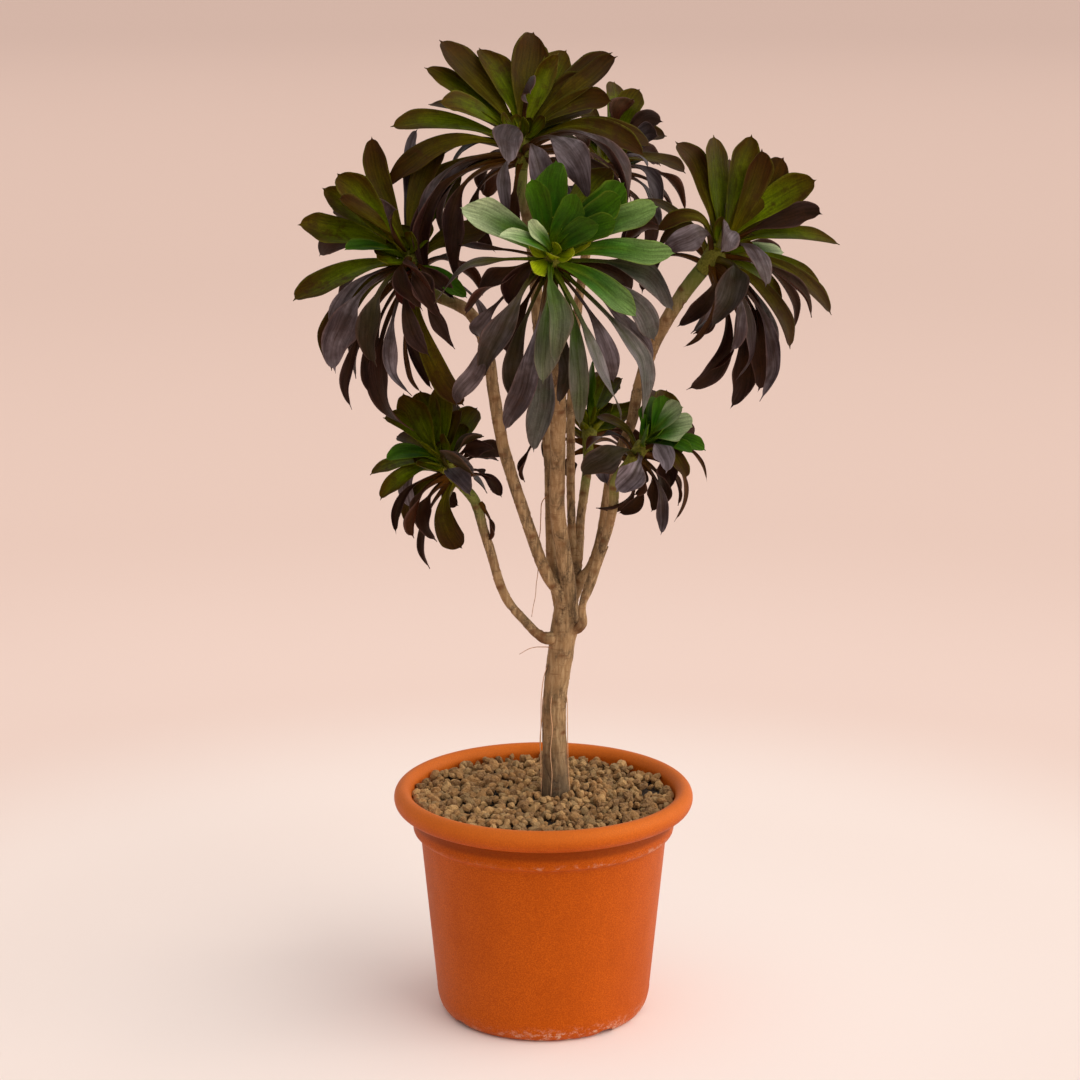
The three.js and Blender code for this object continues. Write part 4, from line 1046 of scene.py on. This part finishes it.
def build_rosette(name, order, material):
    """A leafy stem tip: its core, then every leaf from its place down the core."""
    rosette = ROSETTES[name]
    crown, axis = crown_and_axis(name)
    radius = BRANCHES[name]["radii"][-1]
    shell = Shell()
    line, share = smooth_line([crown - axis * CROWN_FOOT, crown, crown + axis * CROWN_TOP], 1.5)
    girths = [radius, radius + CROWN_EXTRA_RADIUS, radius * 0.6]
    girth = np.interp(share * 2, [0, 1, 2], girths)[:, None, None]
    core = line[:, None] + directions_round(line, CORE_AROUND)[0] * girth
    shade = np.broadcast_to(linear(CORE), core.shape)
    plain = np.zeros(core.shape[:2])
    shell.add(core, place=core, tint=shade, bloom=plain, age=plain)
    leaves = [*rosette["leaves"], *heart_leaves(axis, rosette.get("heart", "olive")),
              *leaves_behind(rosette["behind"], rosette["reach"])]
    for i, (x, y, z, bow, width, twist, finish) in enumerate(leaves):
        reach = np.array([x, y, z], float)
        lean = math.acos(np.clip(unit(reach) @ axis, -1, 1)) / math.pi
        base = crown + axis * (CROWN_TOP - 1 - (CROWN_FOOT + CROWN_TOP - 4) * lean)
        leaf(shell, base, crown + reach, axis, bow, width, twist, finish, 1000 * order + i)
    piece(f"{name}_leaves", shell.mesh(f"{name}_leaves"), material, "leaf", f"{name}_rosette")


def build_stem_leaves(material):
    """The single leaves that grow straight out of a bare stem."""
    for seed, (name, spec) in enumerate(STEM_LEAVES.items()):
        shell = Shell()
        leaf(shell, spec["base"], spec["tip"], (0, 0, 1), spec["bow"], spec["width"], 0, spec["kind"],
             90 + seed)
        piece(f"{name}_blade", shell.mesh(name), material, "leaf", name)


# ---- pot, mix and gravel ----

def rounded(points, spacing):
    """A polyline resampled every spacing, for a smooth turned profile."""
    p = np.asarray(points, float)
    travelled = way_along(p)
    wanted = np.linspace(0, travelled[-1], int(travelled[-1] / spacing) + 2)
    return np.stack([np.interp(wanted, travelled, p[:, k]) for k in range(2)], -1)


def curve_through(points, steps):
    """A quadratic curve from the first point to the last, pulled towards the middle one."""
    a, b, c = (np.array(p, float) for p in points)
    t = np.linspace(0, 1, steps)[:, None]
    return a * (1 - t) ** 2 + b * 2 * t * (1 - t) + c * t ** 2


def pot_profile():
    """The pot's outline as (radius, height), from the middle of the base round the rim to the floor."""
    roll = np.radians(np.linspace(-72, 180, 30))
    centre = (RIM_RADIUS - ROLL_HALF_WIDTH, RIM_TOP - ROLL_HALF_HEIGHT)
    rim = np.stack([centre[0] + ROLL_HALF_WIDTH * np.cos(roll),
                    centre[1] + ROLL_HALF_HEIGHT * np.sin(roll)], -1)
    edge, under = ROLL_EDGE
    return np.vstack([
        rounded([(0.5, 0), (BASE_RADIUS - 10, 0)], 6),
        rounded([(BASE_RADIUS - 9, 0), (BASE_RADIUS, 0)], 0.8),
        curve_through([(BASE_RADIUS, 0), (FOOT_RADIUS - 1.4, 1.2), (FOOT_RADIUS, FOOT_HEIGHT)], 22),
        rounded([(FOOT_RADIUS + 0.05, FOOT_HEIGHT + 2), (SHOULDER_RADIUS - 0.05, SHOULDER_HEIGHT - 1)], 4),
        curve_through([(SHOULDER_RADIUS, SHOULDER_HEIGHT), (SHOULDER_RADIUS + 0.3, SHOULDER_HEIGHT + 1.5),
                       (COLLAR_RADIUS - 1.8, SHOULDER_HEIGHT + 2.6)], 8),
        curve_through([(COLLAR_RADIUS - 1.4, SHOULDER_HEIGHT + 2.8), (COLLAR_RADIUS, SHOULDER_HEIGHT + 3.6),
                       (COLLAR_RADIUS, COLLAR_HEIGHT)], 8),
        curve_through([(COLLAR_RADIUS - 0.1, COLLAR_HEIGHT + 1), (COLLAR_RADIUS - 1, COLLAR_HEIGHT + 5),
                       (COLLAR_RADIUS - 0.5, COLLAR_TOP)], 8),
        [(COLLAR_RADIUS + 0.3, under - 0.1), (edge - 2, under), (edge - 0.3, under - 0.05),
         (edge, under + 0.05), (edge + 0.3, under + 0.3)],
        rim,
        curve_through([(centre[0] - ROLL_HALF_WIDTH, centre[1] - 1), (LIP_RADIUS + 1.2, LIP_HEIGHT + 1),
                       (NECK_INNER_RADIUS, NECK_HEIGHT)], 10),
        [(SHOULDER_RADIUS - WALL, SHOULDER_HEIGHT - 1), (FOOT_RADIUS - WALL, FOOT_HEIGHT)],
        curve_through([(FOOT_RADIUS - WALL - 0.4, FOOT_HEIGHT - 4), (FOOT_RADIUS - WALL - 2, FLOOR + 2),
                       (BASE_RADIUS - 1.5, FLOOR)], 12),
        rounded([(BASE_RADIUS - 3, FLOOR), (0.5, FLOOR)], 6),
    ])


def build_pot(material):
    """The profile turned about the axis, with angles crowded round the drain notches.

    Under each notch, the base and floor rise to the arch of a level cylinder that runs outwards.
    """
    profile = pot_profile()
    even = np.linspace(0, 2 * math.pi, POT_AROUND, endpoint=False)
    start = math.radians(NOTCH_FIRST_ANGLE)
    angle = (even + start - NOTCH_CROWDING * np.sin(NOTCH_COUNT * even) / NOTCH_COUNT)[None, :]
    radius, height = profile[:, :1], profile[:, 1:]
    off = np.angle(np.exp(1j * NOTCH_COUNT * (angle - start))) / NOTCH_COUNT
    aside = radius * np.sin(off)
    arch = np.sqrt(np.clip(NOTCH_RADIUS ** 2 - aside ** 2, 0, None)) - (NOTCH_RADIUS - NOTCH_HEIGHT)
    arch = np.clip(arch, 0, None) * smooth(NOTCH_INNER_RADIUS - 1.5, NOTCH_INNER_RADIUS, radius)
    outside = (np.arange(len(profile)) < np.argmax(profile[:, 1]))[:, None]
    lifted = np.maximum(height, np.where(outside, arch, np.where(height < 12, arch + WALL, 0)))
    rings = np.stack([radius * np.sin(angle), -radius * np.cos(angle), lifted + 0 * angle], -1)
    shell = Shell()
    shell.add(rings)
    piece("pot_shell", shell.mesh("pot_shell"), material, "pot_plastic", "pot")


def gravel_height(x, y):
    """Top of the gravel: it rises a little towards the trunk, with soft unevenness."""
    away = np.hypot(x - TRUNK_PLACE[0], y - TRUNK_PLACE[1])
    uneven = lumps(np.stack([x, y, 0 * x], -1), 24, 3)
    return GRAVEL_TOP + GRAVEL_MOUND * np.exp(-(away / 45) ** 2) + 0.8 * uneven


def build_gravel_bed(material):
    """A crumbly bed of dark potting mix under the stones, set low and dark so the gaps read as painted shade:
    rings from its foot and edge in towards the middle.
    """
    out = np.linspace(1, 0.004, 40)[:, None]
    angle = np.linspace(0, 2 * math.pi, 120, endpoint=False)[None, :]
    x, y = out * BED_RADIUS * np.cos(angle), out * BED_RADIUS * np.sin(angle)
    crumbs = lumps(np.stack([x, y, 0 * x], -1), 5, 8)
    # dark potting mix under the stones, also standing in for painted shade in the gaps
    top = np.stack([x, y, gravel_height(x, y) - BED_DEPTH + 0.5 * crumbs], -1)
    foot = np.stack([x[:1] * BED_FOOT_SHARE, y[:1] * BED_FOOT_SHARE, np.full_like(x[:1], BED_FOOT)], -1)
    bed = Shell()
    bed.add(np.concatenate([foot, top]))
    piece("gravel_bed", bed.mesh("gravel_bed"), material, "potting_mix")


def build_stones(material):
    """Stones strewn over the bed in a golden-angle spiral with jitter, clear of the trunk and the wall.

    A stone is a small globe of few faces, chipped by flat cuts, squashed and turned.
    """
    rng = np.random.default_rng(41)
    number = np.arange(STONE_COUNT)
    reach = GRAVEL_RADIUS * np.sqrt((number + 0.5) / STONE_COUNT) + rng.uniform(-1.6, 1.6, STONE_COUNT)
    turn = number * GOLDEN_ANGLE + rng.uniform(-0.03, 0.03, STONE_COUNT)
    reach = np.minimum(reach, GRAVEL_RADIUS - 1.5)
    x, y = reach * np.cos(turn), reach * np.sin(turn)
    size = rng.uniform(*STONE_SIZES, STONE_COUNT) * np.where(rng.random(STONE_COUNT) < 0.14, 1.25, 1)
    clear = np.hypot(x - TRUNK_PLACE[0], y - TRUNK_PLACE[1]) > TRUNK_CLEARANCE + size * 0.5
    patch_x, patch_y, patch_radius = BARE_PATCH
    bare = np.hypot(x - patch_x, y - patch_y) < patch_radius * rng.uniform(0.75, 1.1, STONE_COUNT)
    z = gravel_height(x, y) + rng.uniform(*STONE_SINK, STONE_COUNT)
    wall = POT_INSIDE[0] + POT_INSIDE[2] * (z - POT_INSIDE[1])
    x, y = (v * np.minimum(1, (wall - size) / np.maximum(np.hypot(x, y), 1)) for v in (x, y))
    palette = [linear(colour) for colour in STONE_COLOURS]
    spin = np.linspace(0, 2 * math.pi, 8, endpoint=False)[None, :]
    tilt = np.radians([25, 58, 92, 126, 156])[:, None]
    globe = np.stack([np.sin(tilt) * np.cos(spin), np.sin(tilt) * np.sin(spin),
                      np.cos(tilt) + 0 * spin], -1)[::-1]
    stones = Shell()
    for i in number[clear & ~bare]:
        turned, _ = np.linalg.qr(rng.normal(size=(3, 3)))
        turned = turned * np.sign(np.linalg.det(turned))
        cuts = unit(rng.normal(size=(STONE_CUTS, 3)))
        depth = rng.uniform(0.52, 0.84, STONE_CUTS)
        cut = np.min(np.minimum(1, depth / np.maximum(globe @ cuts.T, 0.01)), axis=-1)[..., None]
        shape = globe * cut * (1.16, rng.uniform(0.75, 1), rng.uniform(0.6, 0.85))
        tint = palette[rng.integers(len(palette))] * rng.uniform(0.75, 1.2)
        stones.add(shape @ turned.T * size[i] + (x[i], y[i], z[i]), tint=np.broadcast_to(tint, globe.shape))
    piece("gravel_stones", stones.mesh("gravel_stones", soft=False), material, "gravel_stone", "gravel")


# ---- stage ----

def build_stage():
    """A pale floor that warms and darkens a little with distance, a painted pool of light round the pot,
    three soft suns and an even sky.

    The sky lights the scene white, and has the floor's far colour where it is seen.
    """
    material, tree, shader = new_material("pale_floor")
    place = node(tree, "ShaderNodeTexCoord")
    far = node(tree, "ShaderNodeVectorMath", operation="LENGTH")
    wire(tree, place.outputs["Object"], far.inputs[0])
    # painted light: the floor's colour is brightest round the pot and falls off with distance
    colour = linear(FLOOR_COLOURS[0][1])
    for (near_edge, _), (far_edge, next_colour) in zip(FLOOR_COLOURS, FLOOR_COLOURS[1:]):
        share = remap(tree, far.outputs["Value"], near_edge, far_edge)
        colour = blend_colours(tree, share, colour, linear(next_colour))
    wire(tree, colour, shader.inputs["Base Color"])
    shader.inputs["Roughness"].default_value = 0.9
    shader.inputs["Specular IOR Level"].default_value = 0.0
    bpy.ops.mesh.primitive_circle_add(vertices=96, radius=FLOOR_RADIUS, fill_type="NGON")
    floor = bpy.context.object
    floor.name = "floor"
    floor.data.materials.append(material)

    world = bpy.data.worlds.new("soft_sky")
    bpy.context.scene.world = world
    world.use_nodes = True
    sky = world.node_tree
    background = sky.nodes["Background"]
    background.inputs["Color"].default_value = (1, 1, 1, 1)
    background.inputs["Strength"].default_value = SKY_STRENGTH
    backdrop = node(sky, "ShaderNodeBackground", {"Color": (*linear(BACKDROP), 1)})
    seen = node(sky, "ShaderNodeMixShader")
    wire(sky, node(sky, "ShaderNodeLightPath").outputs["Is Camera Ray"], seen.inputs[0])
    wire(sky, background.outputs[0], seen.inputs[1])
    wire(sky, backdrop.outputs[0], seen.inputs[2])
    wire(sky, seen.outputs[0], sky.nodes["World Output"].inputs["Surface"])
    for light in LIGHTS:
        add_sun(*light)


def add_sun(name, source, spread, strength, colour):
    """A soft distant light from the given direction, spread over so many degrees of sky."""
    data = bpy.data.lights.new(name, "SUN")
    data.angle = math.radians(spread)
    data.energy = strength
    data.color = linear(colour)
    light = bpy.data.objects.new(name, data)
    bpy.context.scene.collection.objects.link(light)
    light.rotation_euler = Vector(source).to_track_quat("Z", "Y").to_euler()


def build_camera():
    """A level camera in front of the plant, tipped down a little."""
    data = bpy.data.cameras.new("camera")
    data.sensor_width = SENSOR
    data.lens = CAMERA_LENS
    camera = bpy.data.objects.new("camera", data)
    bpy.context.scene.collection.objects.link(camera)
    camera.location = CAMERA_PLACE
    camera.rotation_euler = (math.radians(90 - CAMERA_DOWN), 0, 0)
    bpy.context.scene.camera = camera


# ---- assembly ----

build_camera()
build_stage()
bpy.context.scene.view_settings.view_transform = "Standard"

LEAF = leaf_material()
BARK = bark_material()
MIX = mix_material()

build_pot(pot_material())
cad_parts["potting_mix"].data.materials.clear()
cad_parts["potting_mix"].data.materials.append(MIX)
build_gravel_bed(MIX)
build_stones(stone_material())
build_trunk(BARK)
build_branches(BARK)
build_roots(root_material())
for order, rosette_name in enumerate(ROSETTES):
    build_rosette(rosette_name, order + 1, LEAF)
build_stem_leaves(LEAF)
